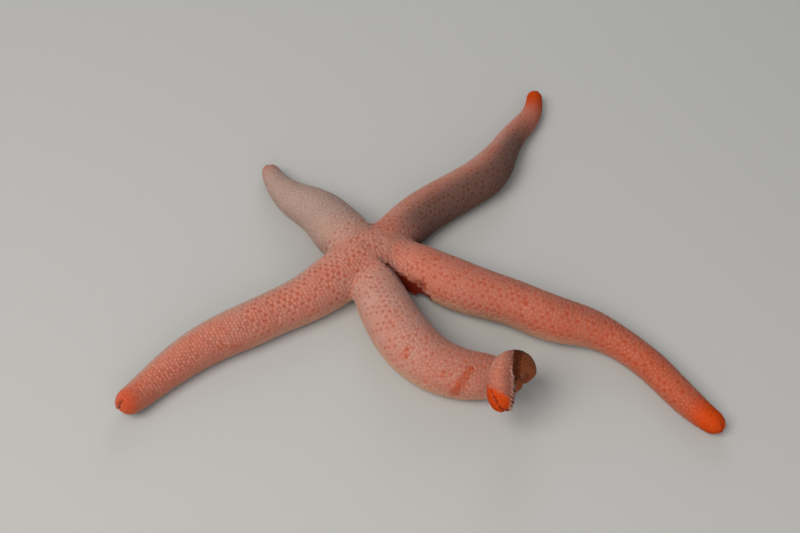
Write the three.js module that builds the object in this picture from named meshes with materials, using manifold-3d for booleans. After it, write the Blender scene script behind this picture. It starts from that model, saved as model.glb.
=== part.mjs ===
// Life-size still model of a finger-armed sea star (a blood star, genus Henricia), in millimetres.
//
// The animal lies on its flat oral side. Five round arms of unequal length leave a small domed disc.
// Each arm is a loft: one section, rounded above and flat below with the food groove along its middle,
// is carried along a smooth route that lies on the floor. Arm tips turn up a little, and the front arm
// ends in a hook that rises, turns over and hangs down in front of itself.
//
// The body is parted with thin cuts into the disc, the mouth skin, the sieve plate and named lengths of
// each arm. +Z is up, +X and +Y span the floor, and the origin is the middle of the footprint.
import * as THREE from "three";
import { mergeVertices } from "three/addons/utils/BufferGeometryUtils.js";
import Module from "manifold-3d";

const wasm = await Module();
wasm.setup();

// ---------------------------------------------------------------- driving sizes, mm

const CUT = 0.3; // width of the cut between two neighbouring pieces
const STATION_STEP = 2.4; // distance between two sections of an arm that bends little
const STEEP = 0.6; // rise per mm of arm beyond which the arm no longer stays upright
const ARC_STEPS = 16; // sides of a section from floor to floor over the back
const AXIS_SHARE = 0.45; // how high the arm's axis runs, as a share of the arm's height
const BELLY_SHARE = 0.62; // the lower half's own half height, before the floor flattens it
const HEIGHT_TO_HALF_WIDTH = 1.7; // an arm is a little wider than it is high
const GROOVE_HALF_WIDTH = 0.2; // the food groove, as a share of the arm's half width
const GROOVE_TOP_HALF_WIDTH = 0.12;
const GROOVE_DEPTH = 0.26; // as a share of the arm's height
const TIP_ROUNDING = 1.15; // length of the rounded end, as a share of the half width there
const TIP_ANGLES = [25, 48, 66, 80]; // where the rounded end has its sections, in degrees
const ROUTE_STEPS = 400; // frames kept along a route
const LEAST_ADVANCE = 0.05; // how far a section stays ahead of the one before, even inside a tight bend
const WELD_DISTANCE = 1e-4; // corners nearer than this are one corner

const ARM_ROOT = 2; // where an arm's solid starts, from the disc's centre
const DISC_BULGE_RADIUS = 7.7;
const DISC_HEIGHT = 9.3;
const DISC_OFFSET = [-1.4, 0.5]; // the dome leans away from the crease between the front and right arms
// The dome's outline, from the middle of its underside: shares of the bulge's radius and of the height.
const DISC_OUTLINE = [[0, 0], [0.88, 0], [1, 0.3], [0.86, 0.66], [0.62, 0.88], [0.32, 0.98], [0, 1]];
const DISC_SIDES = 30;
const CREASE_START = [3.8, -4.9]; // the deep fold between the front and right arms
const CREASE_END = [10.4, -9.9];
const CREASE_HALF_WIDTHS = [0.12, 0.8]; // at its start and end
const CREASE_FLOOR = 1.0; // height of its bottom
const WEB_SPAN = [4, 14.5]; // where the right arm's flank slopes out into the fold, from the centre
const WEB_HALF_WIDTHS = [0.98, 1.38]; // its top and foot, as shares of the arm's half width
const MOUTH_RADIUS = 3.0;
const MOUTH_SIDES = 20;
const MOUTH_DEPTH = 2.4;
const MOUTH_SKIN_THICKNESS = 0.9;
const MOUTH_HOLE_RADIUS = 0.7;
const MOUTH_RIM_RISE = 0.3; // the mouth skin is thinner at its rim
const SIEVE_RADIUS = 1.3;
const SIEVE_THICKNESS = 0.9;
const SIEVE_SIDES = 16;
const SIEVE_ANGLE = 80; // degrees round the dome, between the two back arms
const SIEVE_FROM_CENTRE = 6.6; // from the dome's middle line
const SIEVE_BASE_HEIGHT = 5.9; // where the dome's surface lies under the sieve plate
const SIEVE_LEAN = 62; // the dome's slope there, in degrees
const SIEVE_SINK = 0.45; // how deep the sieve plate's seat is cut into the disc
const SIEVE_CLEARANCE = 4; // how far the seat's cutter reaches outwards

// Each arm's route starts at the disc's centre. It is a smooth spline drawn by control points
// [x, y, lift], where lift is how far the underside stands off the floor. Half widths are drawn the same
// way, by numbers at equal steps from the centre to the tip. Cuts are distances from the centre.
const ARMS = {
  left: {
    route: [
      [0, 0, 0], [-11, -10.6, 0], [-18.4, -14.2, 0], [-22.5, -17, 0], [-29.1, -20.4, 0],
      [-34.5, -24.1, 0], [-40, -29.4, 0], [-44.1, -34.3, 0.4], [-46.6, -37.6, 1.8],
    ],
    halfWidths: [5.8, 5.7, 5.1, 4.6, 4.7, 4.3, 3.9, 3.1, 2.6],
    cuts: [11.5, 28, 43, 53.5],
    lengths: ["base", "middle", "outer", "tip"],
  },
  back_left: {
    route: [
      [0, 0, 0], [-6.7, 6.3, 0], [-10.3, 12.8, 0], [-16.2, 16.4, 0],
      [-20.2, 21.2, 0], [-22.8, 26.5, 0.1], [-23.5, 28.8, 0.7],
    ],
    halfWidths: [5.0, 6.2, 5.3, 4.4, 2.9, 1.9],
    cuts: [11.5, 19.5, 27.5, 33.5],
    lengths: ["base", "middle", "outer", "tip"],
  },
  back_right: {
    route: [
      [0, 0, 0], [6.1, 6.8, 0], [11, 12.5, 0], [16, 16.4, 0], [21.1, 20.3, 0], [26.1, 24.1, 0],
      [29.3, 30.4, 0], [31.4, 35.9, 0], [34.4, 40.9, 0], [38.5, 46.3, 0.1], [39.1, 54.1, 0.5],
    ],
    halfWidths: [4.8, 4.9, 5.0, 4.9, 4.8, 4.9, 3.3, 2.9, 2.4, 1.9],
    cuts: [12, 28, 44, 59.5],
    lengths: ["base", "middle", "outer", "tip"],
  },
  right: {
    route: [
      [0, 0, 0.6], [7.8, 0.3, 0.7], [13.3, -5.9, 0.9], [21.3, -10.3, 1.1], [29.5, -12.7, 1.3],
      [36.2, -17.4, 1.3], [44.3, -18.3, 1.1], [50.7, -22.1, 0.5], [56.1, -27.4, 0.1],
      [59.7, -33, 0], [63.3, -37.6, 0.1], [67.3, -41.1, 0.2],
    ],
    halfWidths: [4.4, 4.0, 5.0, 5.5, 5.0, 4.7, 4.9, 4.2, 3.3, 3.2, 3.1, 2.9, 2.2],
    cuts: [15, 34, 53.5, 73.5],
    lengths: ["base", "middle", "outer", "tip"],
  },
  front: {
    route: [
      [0, 0, 0], [1.7, -9.0, 0], [4.7, -17.0, 0], [8.6, -23.9, 0], [14, -28.6, 0], [20, -30.1, 0],
      [20.4, -29.8, 0.2], [28.1, -31.5, 1.5], [29.3, -32, 6.9], [26.6, -33.2, 9.7],
      [25.0, -36.2, 9.5], [25.0, -38.9, 7.7], [25.1, -39.4, 4.5],
    ],
    halfWidths: [4.7, 5.2, 5.6, 5.9, 5.4, 4.9, 3.4, 3.2, 2.8],
    cuts: [15, 29, 40, 47, 54],
    lengths: ["base", "middle", "bend", "hook", "tip"],
    stationStep: 1.5,
    twist: { from: 40, to: 54, degrees: -45 }, // the hook turns its furrow to the right and away
  },
};

// ---------------------------------------------------------------- finishes

const FINISHES = {
  body: new THREE.MeshStandardMaterial({ color: 0xb2705e, roughness: 0.62, metalness: 0 }),
  tip: new THREE.MeshStandardMaterial({ color: 0xb04a20, roughness: 0.58, metalness: 0 }),
  mouth: new THREE.MeshStandardMaterial({ color: 0xc79a72, roughness: 0.5, metalness: 0 }),
  sieve: new THREE.MeshStandardMaterial({ color: 0xd7a892, roughness: 0.7, metalness: 0 }),
};

// ---------------------------------------------------------------- curves and numbers along an arm

// A point of a smooth cubic spline over equally spaced control rows, at a share from 0 to 1.
// It starts at the first row and ends at the last.
function splineAt(rows, share) {
  const place = THREE.MathUtils.clamp(share, 0, 1) * (rows.length - 1);
  const i = Math.min(Math.floor(place), rows.length - 2);
  const t = place - i;
  const weights = [(1 - t) ** 3, 3 * t ** 3 - 6 * t ** 2 + 4, -3 * t ** 3 + 3 * t ** 2 + 3 * t + 1, t ** 3];
  const row = (k) => {
    if (k < 0) return rows[0].map((v, axis) => 2 * v - rows[1][axis]);
    if (k >= rows.length) return rows.at(-1).map((v, axis) => 2 * v - rows.at(-2)[axis]);
    return rows[k];
  };
  return rows[0].map((_, axis) => weights.reduce((sum, w, k) => sum + (w * row(i - 1 + k)[axis]) / 6, 0));
}

class RouteCurve extends THREE.Curve {
  constructor(rows) {
    super();
    this.rows = rows;
    this.arcLengthDivisions = ROUTE_STEPS;
  }
  getPoint(share, target = new THREE.Vector3()) {
    return target.fromArray(splineAt(this.rows, share));
  }
}

// An arm's route: its length, and its point, direction and back at a distance from the disc's centre.
// The back is the way the arm's upper side faces. It stays upright until the arm rises steeply, and
// from there it is carried along without twist, so it turns over with the hook.
function routeOf(arm) {
  const curve = new RouteCurve(arm.route);
  const length = curve.getLength();
  const directions = [];
  const backs = [];
  let onFloor = true;
  for (let i = 0; i <= ROUTE_STEPS; i++) {
    const direction = curve.getTangentAt(i / ROUTE_STEPS).normalize();
    onFloor = onFloor && direction.z < STEEP;
    const back = onFloor ? new THREE.Vector3(0, 0, 1) : backs[i - 1].clone();
    back.addScaledVector(direction, -back.dot(direction)).normalize();
    directions.push(direction);
    backs.push(back);
  }
  if (arm.twist) {
    const { from, to, degrees } = arm.twist;
    backs.forEach((back, i) => {
      const share = THREE.MathUtils.smoothstep((i / ROUTE_STEPS) * length, from, to);
      back.applyAxisAngle(directions[i], THREE.MathUtils.degToRad(degrees) * share);
    });
  }
  const frameAt = (distance) => {
    const share = THREE.MathUtils.clamp(distance / length, 0, 1);
    const i = Math.round(share * ROUTE_STEPS);
    return { point: curve.getPointAt(share), direction: directions[i], back: backs[i] };
  };
  return { length, frameAt };
}

// Half width and height of an arm at a distance from the centre, rounded off towards the tip.
function girthAt(arm, route, distance) {
  const [full] = splineAt(arm.halfWidths.map((halfWidth) => [halfWidth]), distance / route.length);
  const rounding = TIP_ROUNDING * arm.halfWidths.at(-1);
  const past = Math.max(0, (distance - (route.length - rounding)) / rounding);
  const round = Math.sqrt(Math.max(0, 1 - past * past));
  return { halfWidth: full, height: full * HEIGHT_TO_HALF_WIDTH, round };
}

// ---------------------------------------------------------------- sections

// The section's outline, anticlockwise from foot to foot over the back, as [across, above the axis].
function sectionOutline(halfWidth, height, grooved) {
  const foot = Math.asin(AXIS_SHARE / BELLY_SHARE);
  const outline = [];
  for (let i = 0; i <= ARC_STEPS; i++) {
    const angle = -foot + (i / ARC_STEPS) * (Math.PI + 2 * foot);
    const rise = Math.sin(angle) * (Math.sin(angle) > 0 ? 1 - AXIS_SHARE : BELLY_SHARE);
    outline.push([halfWidth * Math.cos(angle), height * Math.max(rise, -AXIS_SHARE)]);
  }
  if (grooved) {
    const floor = -AXIS_SHARE * height;
    const top = floor + GROOVE_DEPTH * height;
    outline.push([-GROOVE_HALF_WIDTH * halfWidth, floor], [-GROOVE_TOP_HALF_WIDTH * halfWidth, top]);
    outline.push([GROOVE_TOP_HALF_WIDTH * halfWidth, top], [GROOVE_HALF_WIDTH * halfWidth, floor]);
  }
  return outline;
}

// The cutter that runs a food groove into the disc, reaching below the floor.
function grooveOutline(halfWidth, height) {
  const floor = -AXIS_SHARE * height;
  const top = floor + GROOVE_DEPTH * height;
  const below = floor - CUT; // clear of the floor
  const edge = GROOVE_HALF_WIDTH * halfWidth;
  const crown = GROOVE_TOP_HALF_WIDTH * halfWidth;
  return [[-edge, below], [edge, below], [edge, floor], [crown, top], [-crown, top], [-edge, floor]];
}

// The sloping flank beside the fold: the arm's lower quarter on the fold's side, filled out to a wall.
function webOutline(halfWidth, height) {
  const floor = -AXIS_SHARE * height;
  const [top, foot] = WEB_HALF_WIDTHS.map((share) => share * halfWidth);
  return [[-top, 0], [-foot, floor], [0, floor], [0, 0]];
}

// One section placed in space, as a ring of points.
function ringAt(arm, route, distance, outlineOf) {
  const { point, direction, back } = route.frameAt(distance);
  const { halfWidth, height, round } = girthAt(arm, route, distance);
  const across = new THREE.Vector3().crossVectors(back, direction);
  const axis = point.clone().add(new THREE.Vector3(0, 0, AXIS_SHARE * height));
  return outlineOf(halfWidth, height).map(([side, up]) =>
    axis.clone().addScaledVector(across, side * round).addScaledVector(back, up * round));
}

// The sections at a row of distances. Inside a tight bend no point falls back behind the one before.
function ringsAt(arm, route, distances, outlineOf) {
  const rings = distances.map((distance) => ringAt(arm, route, distance, outlineOf));
  for (let r = 1; r < rings.length; r++) {
    const { direction } = route.frameAt((distances[r - 1] + distances[r]) / 2);
    rings[r].forEach((p, i) => {
      const advance = p.clone().sub(rings[r - 1][i]).dot(direction);
      p.addScaledVector(direction, Math.max(0, LEAST_ADVANCE - advance));
    });
  }
  return rings;
}

// Evenly spaced distances from one place on an arm to another.
function distancesBetween(arm, from, to) {
  const steps = Math.max(1, Math.round((to - from) / (arm.stationStep ?? STATION_STEP)));
  return Array.from({ length: steps + 1 }, (_, i) => from + (i / steps) * (to - from));
}

// ---------------------------------------------------------------- solids

// A closed mesh over rings of equal count, with flat ends or, for a tip, an end point.
function loft(rings, outline, endPoint) {
  const count = rings[0].length;
  const positions = rings.flat().flatMap((p) => [p.x, p.y, p.z]);
  const faces = [];
  for (let r = 0; r + 1 < rings.length; r++) {
    for (let i = 0; i < count; i++) {
      const a = r * count + i;
      const b = r * count + ((i + 1) % count);
      faces.push(a, b, a + count, b, b + count, a + count);
    }
  }
  const flat = THREE.ShapeUtils.triangulateShape(outline.map(([x, y]) => new THREE.Vector2(x, y)), []);
  const last = (rings.length - 1) * count;
  for (const [a, b, c] of flat) {
    faces.push(a, c, b);
    if (!endPoint) faces.push(last + a, last + b, last + c);
  }
  if (endPoint) {
    positions.push(endPoint.x, endPoint.y, endPoint.z);
    for (let i = 0; i < count; i++) faces.push(last + i, last + ((i + 1) % count), rings.length * count);
  }
  const geometry = new THREE.BufferGeometry();
  geometry.setAttribute("position", new THREE.Float32BufferAttribute(positions, 3));
  geometry.setIndex(faces);
  return geometry;
}

// A length of an arm from one distance to another.
function armLength(arm, route, from, to, grooved = true, outlineOf = null) {
  const shape = outlineOf ?? ((halfWidth, height) => sectionOutline(halfWidth, height, grooved));
  return loft(ringsAt(arm, route, distancesBetween(arm, from, to), shape), shape(1, 1));
}

// The last length of an arm, with its rounded end.
function armTip(arm, route, from) {
  const shape = (halfWidth, height) => sectionOutline(halfWidth, height, true);
  const rounding = TIP_ROUNDING * arm.halfWidths.at(-1);
  const straight = route.length - rounding;
  const rounded = TIP_ANGLES.map((degrees) =>
    straight + rounding * Math.sin(THREE.MathUtils.degToRad(degrees)));
  const rings = ringsAt(arm, route, [...distancesBetween(arm, from, straight), ...rounded], shape);
  const end = route.frameAt(route.length).point.clone();
  end.z += AXIS_SHARE * girthAt(arm, route, route.length).height;
  return loft(rings, shape(1, 1), end);
}

// A three.js geometry as a manifold solid, and back.
function solidOf(geometry) {
  const bare = geometry.index ? geometry.toNonIndexed() : geometry.clone();
  bare.deleteAttribute("normal");
  bare.deleteAttribute("uv");
  const merged = mergeVertices(bare, WELD_DISTANCE);
  return new wasm.Manifold(new wasm.Mesh({
    numProp: 3,
    vertProperties: merged.attributes.position.array,
    triVerts: new Uint32Array(merged.index.array),
  }));
}

function geometryOf(solid) {
  const mesh = solid.getMesh();
  const geometry = new THREE.BufferGeometry();
  geometry.setAttribute("position", new THREE.Float32BufferAttribute(mesh.vertProperties, 3));
  geometry.setIndex(new THREE.Uint32BufferAttribute(mesh.triVerts, 1));
  return geometry;
}

// A round body turned about the vertical axis, from [radius, height] pairs that start and end on the axis.
function turned(profile, sides) {
  const geometry = new THREE.LatheGeometry(profile.map(([r, z]) => new THREE.Vector2(r, z)), sides);
  return geometry.rotateX(Math.PI / 2);
}

// The disc: a low dome joined with the roots of the five arms, with the food grooves, the mouth
// and the seat of the sieve plate cut out of it.
function discGeometry(routes) {
  const dome = turned(DISC_OUTLINE.map(([r, z]) => [r * DISC_BULGE_RADIUS, z * DISC_HEIGHT]), DISC_SIDES);
  let disc = solidOf(dome.translate(DISC_OFFSET[0], DISC_OFFSET[1], 0));
  for (const [name, arm] of Object.entries(ARMS)) {
    disc = disc.add(solidOf(armLength(arm, routes[name], ARM_ROOT, arm.cuts[0] - CUT / 2, false)));
  }
  disc = disc.add(solidOf(armLength(ARMS.right, routes.right, ...WEB_SPAN, false, webOutline)));
  for (const [name, arm] of Object.entries(ARMS)) {
    const groove = armLength(arm, routes[name], ARM_ROOT / 2, arm.cuts[0] + CUT, true, grooveOutline);
    disc = disc.subtract(solidOf(groove));
  }
  const cutters = [
    creaseGeometry(),
    rod(MOUTH_RADIUS, -MOUTH_DEPTH, MOUTH_DEPTH, MOUTH_SIDES),
    placeOnSieveSeat(rod(SIEVE_RADIUS + CUT, -SIEVE_SINK, SIEVE_CLEARANCE, SIEVE_SIDES)),
  ];
  return geometryOf(cutters.reduce((rest, cutter) => rest.subtract(solidOf(cutter)), disc));
}

// A plain round rod on the vertical axis.
function rod(radius, bottom, top, sides) {
  return turned([[0, bottom], [radius, bottom], [radius, top], [0, top]], sides);
}

// The wedge that opens the fold between the front and right arms, up from the fold's bottom.
function creaseGeometry() {
  const start = new THREE.Vector2(...CREASE_START);
  const end = new THREE.Vector2(...CREASE_END);
  const along = end.clone().sub(start).normalize();
  const aside = new THREE.Vector2(-along.y, along.x);
  const [near, far] = CREASE_HALF_WIDTHS;
  const corners = [[start, -near], [end, -far], [end, far], [start, near]];
  const outline = corners.map(([corner, width]) => corner.clone().addScaledVector(aside, width));
  const shape = new THREE.Shape(outline);
  const wedge = new THREE.ExtrudeGeometry(shape, { depth: DISC_HEIGHT, bevelEnabled: false });
  return wedge.translate(0, 0, CREASE_FLOOR);
}

// Moves a geometry from the origin to the place and lean of the sieve plate.
function placeOnSieveSeat(geometry) {
  const angle = THREE.MathUtils.degToRad(SIEVE_ANGLE);
  geometry.rotateY(THREE.MathUtils.degToRad(SIEVE_LEAN)).rotateZ(angle);
  return geometry.translate(
    DISC_OFFSET[0] + SIEVE_FROM_CENTRE * Math.cos(angle),
    DISC_OFFSET[1] + SIEVE_FROM_CENTRE * Math.sin(angle),
    SIEVE_BASE_HEIGHT,
  );
}

// The sieve plate (madreporite): a low button in its seat.
function sieveGeometry() {
  const bottom = CUT - SIEVE_SINK;
  const outline = [[0, 0], [1, 0], [1, 0.5], [0.72, 0.89], [0, 1]]; // shares of its radius and thickness
  const profile = outline.map(([r, z]) => [r * SIEVE_RADIUS, bottom + z * SIEVE_THICKNESS]);
  return placeOnSieveSeat(turned(profile, SIEVE_SIDES));
}

// The mouth skin: a thin ring that closes the mouth but for the hole in its middle.
function mouthGeometry() {
  const top = MOUTH_DEPTH - CUT;
  const bottom = top - MOUTH_SKIN_THICKNESS;
  const rim = MOUTH_RADIUS - CUT;
  const hole = MOUTH_HOLE_RADIUS;
  const profile = [[hole, bottom], [rim, bottom + MOUTH_RIM_RISE], [rim, top], [hole, top], [hole, bottom]];
  return turned(profile, MOUTH_SIDES);
}

// ---------------------------------------------------------------- the animal

const seaStar = new THREE.Group();

function addPiece(name, geometry, finish) {
  const piece = new THREE.Mesh(geometry, finish);
  piece.name = name;
  seaStar.add(piece);
}

const routes = Object.fromEntries(Object.entries(ARMS).map(([name, arm]) => [name, routeOf(arm)]));
addPiece("disc", discGeometry(routes), FINISHES.body);
addPiece("mouth", mouthGeometry(), FINISHES.mouth);
addPiece("madreporite", sieveGeometry(), FINISHES.sieve);
for (const [name, arm] of Object.entries(ARMS)) {
  arm.lengths.forEach((length, i) => {
    const from = arm.cuts[i] + CUT / 2;
    const isTip = i === arm.lengths.length - 1;
    const geometry = isTip
      ? armTip(arm, routes[name], from)
      : armLength(arm, routes[name], from, arm.cuts[i + 1] - CUT / 2);
    addPiece(`arm_${name}_${length}`, geometry, isTip ? FINISHES.tip : FINISHES.body);
  });
}

// The origin is the middle of the footprint, on the floor.
const box = new THREE.Box3().setFromObject(seaStar, true);
seaStar.position.set(-(box.min.x + box.max.x) / 2, -(box.min.y + box.max.y) / 2, 0);

export default seaStar;
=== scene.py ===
# %% [markdown]
# # A finger-armed sea star
# A blood star is a small, long-armed sea star. Its five round arms meet in a low disc, and its whole body
# is covered with tiny tufts of fine spinelets, so that it looks like felt. Between the tufts lie small
# soft pits, where the gills come out, and they show as darker red dots.
#
# This lesson builds it in life size around a fixed frame, the solid model, which says where everything is.
# It goes from large to small: camera and light, the arms' routes, one skin over the whole body, the
# markings, the tufts that stand on it, and last the small parts, which are the gills, the furrow's spines,
# the comb on the front arm's curled end, the tube feet, the mouth and the sieve plate.

# %% Load the frame
import math

import bpy
import numpy as np
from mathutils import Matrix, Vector
from mathutils.bvhtree import BVHTree
from mathutils.kdtree import KDTree


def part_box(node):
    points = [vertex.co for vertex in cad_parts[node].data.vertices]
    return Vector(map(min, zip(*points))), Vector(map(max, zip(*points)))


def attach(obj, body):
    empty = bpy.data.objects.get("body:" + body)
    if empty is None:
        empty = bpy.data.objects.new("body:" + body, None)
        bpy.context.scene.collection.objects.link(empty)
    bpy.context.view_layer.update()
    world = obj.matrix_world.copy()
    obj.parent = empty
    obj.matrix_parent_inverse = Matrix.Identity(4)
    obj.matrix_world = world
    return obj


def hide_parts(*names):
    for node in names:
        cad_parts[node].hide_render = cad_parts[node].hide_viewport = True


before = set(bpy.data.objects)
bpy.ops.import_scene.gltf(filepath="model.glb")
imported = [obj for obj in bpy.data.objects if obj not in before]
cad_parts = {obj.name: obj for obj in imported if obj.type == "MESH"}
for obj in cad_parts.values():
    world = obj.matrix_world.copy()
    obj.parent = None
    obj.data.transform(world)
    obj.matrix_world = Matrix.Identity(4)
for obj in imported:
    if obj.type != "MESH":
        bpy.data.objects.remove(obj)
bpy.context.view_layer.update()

MM = 0.001
BODY = "root"
mouth_low, mouth_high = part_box("mouth")
disc_centre = np.array([(mouth_low.x + mouth_high.x) / 2, (mouth_low.y + mouth_high.y) / 2, 0])

# %% [markdown]
# ## Camera, floor and light
# The camera comes first, so that every later step can be looked at. It stands in front of the animal and
# looks down on it by 50 degrees. The floor is plain and pale. A broad lamp at the upper left gives the
# soft main light, and two weaker ones keep the shadows open.

# %% Camera
CAMERA_HEIGHT_ANGLE = math.radians(50)
CAMERA_DISTANCE = 233.8 * MM
FIELD_OF_VIEW = math.radians(40)
LOOK_AT = (6.5, 0.5, 0)          # mm from the disc's centre
look_at = Vector(disc_centre) + Vector(LOOK_AT) * MM
towards_camera = Vector((0, -math.cos(CAMERA_HEIGHT_ANGLE), math.sin(CAMERA_HEIGHT_ANGLE)))

camera = bpy.data.objects.new("camera", bpy.data.cameras.new("camera"))
camera.data.sensor_width = 36
camera.data.lens = camera.data.sensor_width / 2 / math.tan(FIELD_OF_VIEW / 2)
camera.data.clip_start = 0.005
camera.location = look_at + towards_camera * CAMERA_DISTANCE
camera.rotation_mode = "QUATERNION"
camera.rotation_quaternion = (-towards_camera).to_track_quat("-Z", "Y")
bpy.context.scene.collection.objects.link(camera)
bpy.context.scene.camera = camera
print("lens", round(camera.data.lens, 2), "mm")


# %% Floor, lamps and sky
def plain_material(name, colour, roughness):
    material = bpy.data.materials.new(name)
    material.use_nodes = True
    shader = material.node_tree.nodes["Principled BSDF"]
    shader.inputs["Base Color"].default_value = (*colour, 1)
    shader.inputs["Roughness"].default_value = roughness
    return material


FLOOR_HALF = 1.5
floor_mesh = bpy.data.meshes.new("floor")
floor_corners = [(x * FLOOR_HALF, y * FLOOR_HALF, 0) for x, y in ((-1, -1), (1, -1), (1, 1), (-1, 1))]
floor_mesh.from_pydata(floor_corners, [], [(0, 1, 2, 3)])
floor_mesh.materials.append(plain_material("pale_floor", (0.46, 0.45, 0.43), 0.9))
floor = bpy.data.objects.new("floor", floor_mesh)
bpy.context.scene.collection.objects.link(floor)


def lamp(name, place, size, power, colour):
    light = bpy.data.lights.new(name, "AREA")
    light.size = size
    light.energy = power
    light.color = colour
    obj = bpy.data.objects.new(name, light)
    obj.location = look_at + Vector(place)
    obj.rotation_mode = "QUATERNION"
    obj.rotation_quaternion = (look_at - obj.location).to_track_quat("-Z", "Y")
    bpy.context.scene.collection.objects.link(obj)


lamp("main_lamp", (-0.26, -0.18, 0.44), 0.34, 2.15, (1.0, 0.965, 0.92))
lamp("front_lamp", (0.05, -0.38, 0.20), 0.30, 0.58, (1.0, 0.97, 0.95))
lamp("back_lamp", (0.05, 0.46, 0.24), 0.24, 0.56, (0.90, 0.95, 1.0))
sky = bpy.data.worlds.new("sky")
sky.use_nodes = True
sky.node_tree.nodes["Background"].inputs["Color"].default_value = (0.80, 0.86, 0.92, 1)
sky.node_tree.nodes["Background"].inputs["Strength"].default_value = 0.32
bpy.context.scene.world = sky
bpy.context.scene.view_settings.view_transform = "Standard"

# %% [markdown]
# ## The arms' routes
# Each arm follows a smooth line on the floor, drawn by a few control points, and has a half width that is
# drawn the same way by numbers at equal steps. Both are cubic B-splines, which bend evenly and never kink.
# These are the same numbers as in the solid model, so the skin fits it. Most of them were not chosen by
# hand: separate programs fitted them to the animal's outline, and they were rounded to 0.1 mm. At every
# point of a route three directions are kept: along the arm, towards its back, and across. The back stays
# upright until an arm rises steeply, and from there it is carried along without twist, so that it turns
# over with the front arm's hook.

# %% Routes and half widths, in mm from the disc's centre
ARMS = {
    "left": {
        "route": [(0, 0, 0), (-11, -10.6, 0), (-18.4, -14.2, 0), (-22.5, -17, 0), (-29.1, -20.4, 0),
                  (-34.5, -24.1, 0), (-40, -29.4, 0), (-44.1, -34.3, 0.4), (-46.6, -37.6, 1.8)],
        "half_widths": [5.8, 5.7, 5.1, 4.6, 4.7, 4.3, 3.9, 3.1, 2.6]},
    "back_left": {
        "route": [(0, 0, 0), (-6.7, 6.3, 0), (-10.3, 12.8, 0), (-16.2, 16.4, 0),
                  (-20.2, 21.2, 0), (-22.8, 26.5, 0.1), (-23.5, 28.8, 0.7)],
        "half_widths": [5.0, 6.2, 5.3, 4.4, 2.9, 1.9]},
    "back_right": {
        "route": [(0, 0, 0), (6.1, 6.8, 0), (11, 12.5, 0), (16, 16.4, 0), (21.1, 20.3, 0), (26.1, 24.1, 0),
                  (29.3, 30.4, 0), (31.4, 35.9, 0), (34.4, 40.9, 0), (38.5, 46.3, 0.1), (39.1, 54.1, 0.5)],
        "half_widths": [4.8, 4.9, 5.0, 4.9, 4.8, 4.9, 3.3, 2.9, 2.4, 1.9]},
    "right": {
        "route": [(0, 0, 0.6), (7.8, 0.3, 0.7), (13.3, -5.9, 0.9), (21.3, -10.3, 1.1), (29.5, -12.7, 1.3),
                  (36.2, -17.4, 1.3), (44.3, -18.3, 1.1), (50.7, -22.1, 0.5), (56.1, -27.4, 0.1),
                  (59.7, -33, 0), (63.3, -37.6, 0.1), (67.3, -41.1, 0.2)],
        "half_widths": [4.4, 4.0, 5.0, 5.5, 5.0, 4.7, 4.9, 4.2, 3.3, 3.2, 3.1, 2.9, 2.2]},
    "front": {
        "route": [(0, 0, 0), (1.7, -9.0, 0), (4.7, -17.0, 0), (8.6, -23.9, 0), (14, -28.6, 0),
                  (20, -30.1, 0), (20.4, -29.8, 0.2), (28.1, -31.5, 1.5), (29.3, -32, 6.9),
                  (26.6, -33.2, 9.7), (25.0, -36.2, 9.5), (25.0, -38.9, 7.7), (25.1, -39.4, 4.5)],
        "half_widths": [4.7, 5.2, 5.6, 5.9, 5.4, 4.9, 3.4, 3.2, 2.8],
        "twist": (40, 54, -45)},     # the hook turns its furrow aside: from, to and degrees
}
HEIGHT_TO_HALF_WIDTH = 1.7   # an arm is a little wider than it is high
AXIS_SHARE = 0.45            # how high the arm's axis runs, as a share of the arm's height
BELLY_SHARE = 0.62           # the lower half's own half height, before the floor flattens it
GROOVE_HALF_WIDTH, GROOVE_TOP_HALF_WIDTH, GROOVE_DEPTH = 0.2, 0.12, 0.26
TIP_ROUNDING = 1.15          # length of the rounded end, as a share of the half width there
STEEP = 0.6                  # rise per mm of arm beyond which it no longer stays upright
ARM_ROOT = 2.0


def spline(rows, shares):
    """Points of a cubic B-spline over equally spaced rows. It starts at the first and ends at the last."""
    rows = np.asarray(rows, float)
    rows = np.vstack([2 * rows[0] - rows[1], rows, 2 * rows[-1] - rows[-2]])
    place = np.clip(shares, 0, 1) * (len(rows) - 3)
    i = np.minimum(place.astype(int), len(rows) - 4)
    t = (place - i)[:, None]
    weights = ((1 - t) ** 3, 3 * t**3 - 6 * t**2 + 4, -3 * t**3 + 3 * t**2 + 3 * t + 1, t**3)
    return sum(w * rows[i + k] for k, w in enumerate(weights)) / 6


def unit(vectors):
    return vectors / np.maximum(np.linalg.norm(vectors, axis=-1, keepdims=True), 1e-12)


def smoothstep(value, low, high):
    t = np.clip((value - low) / (high - low), 0, 1)
    return t * t * (3 - 2 * t)


# %% Follow each route
SAMPLE_STEP = 0.2


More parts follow.
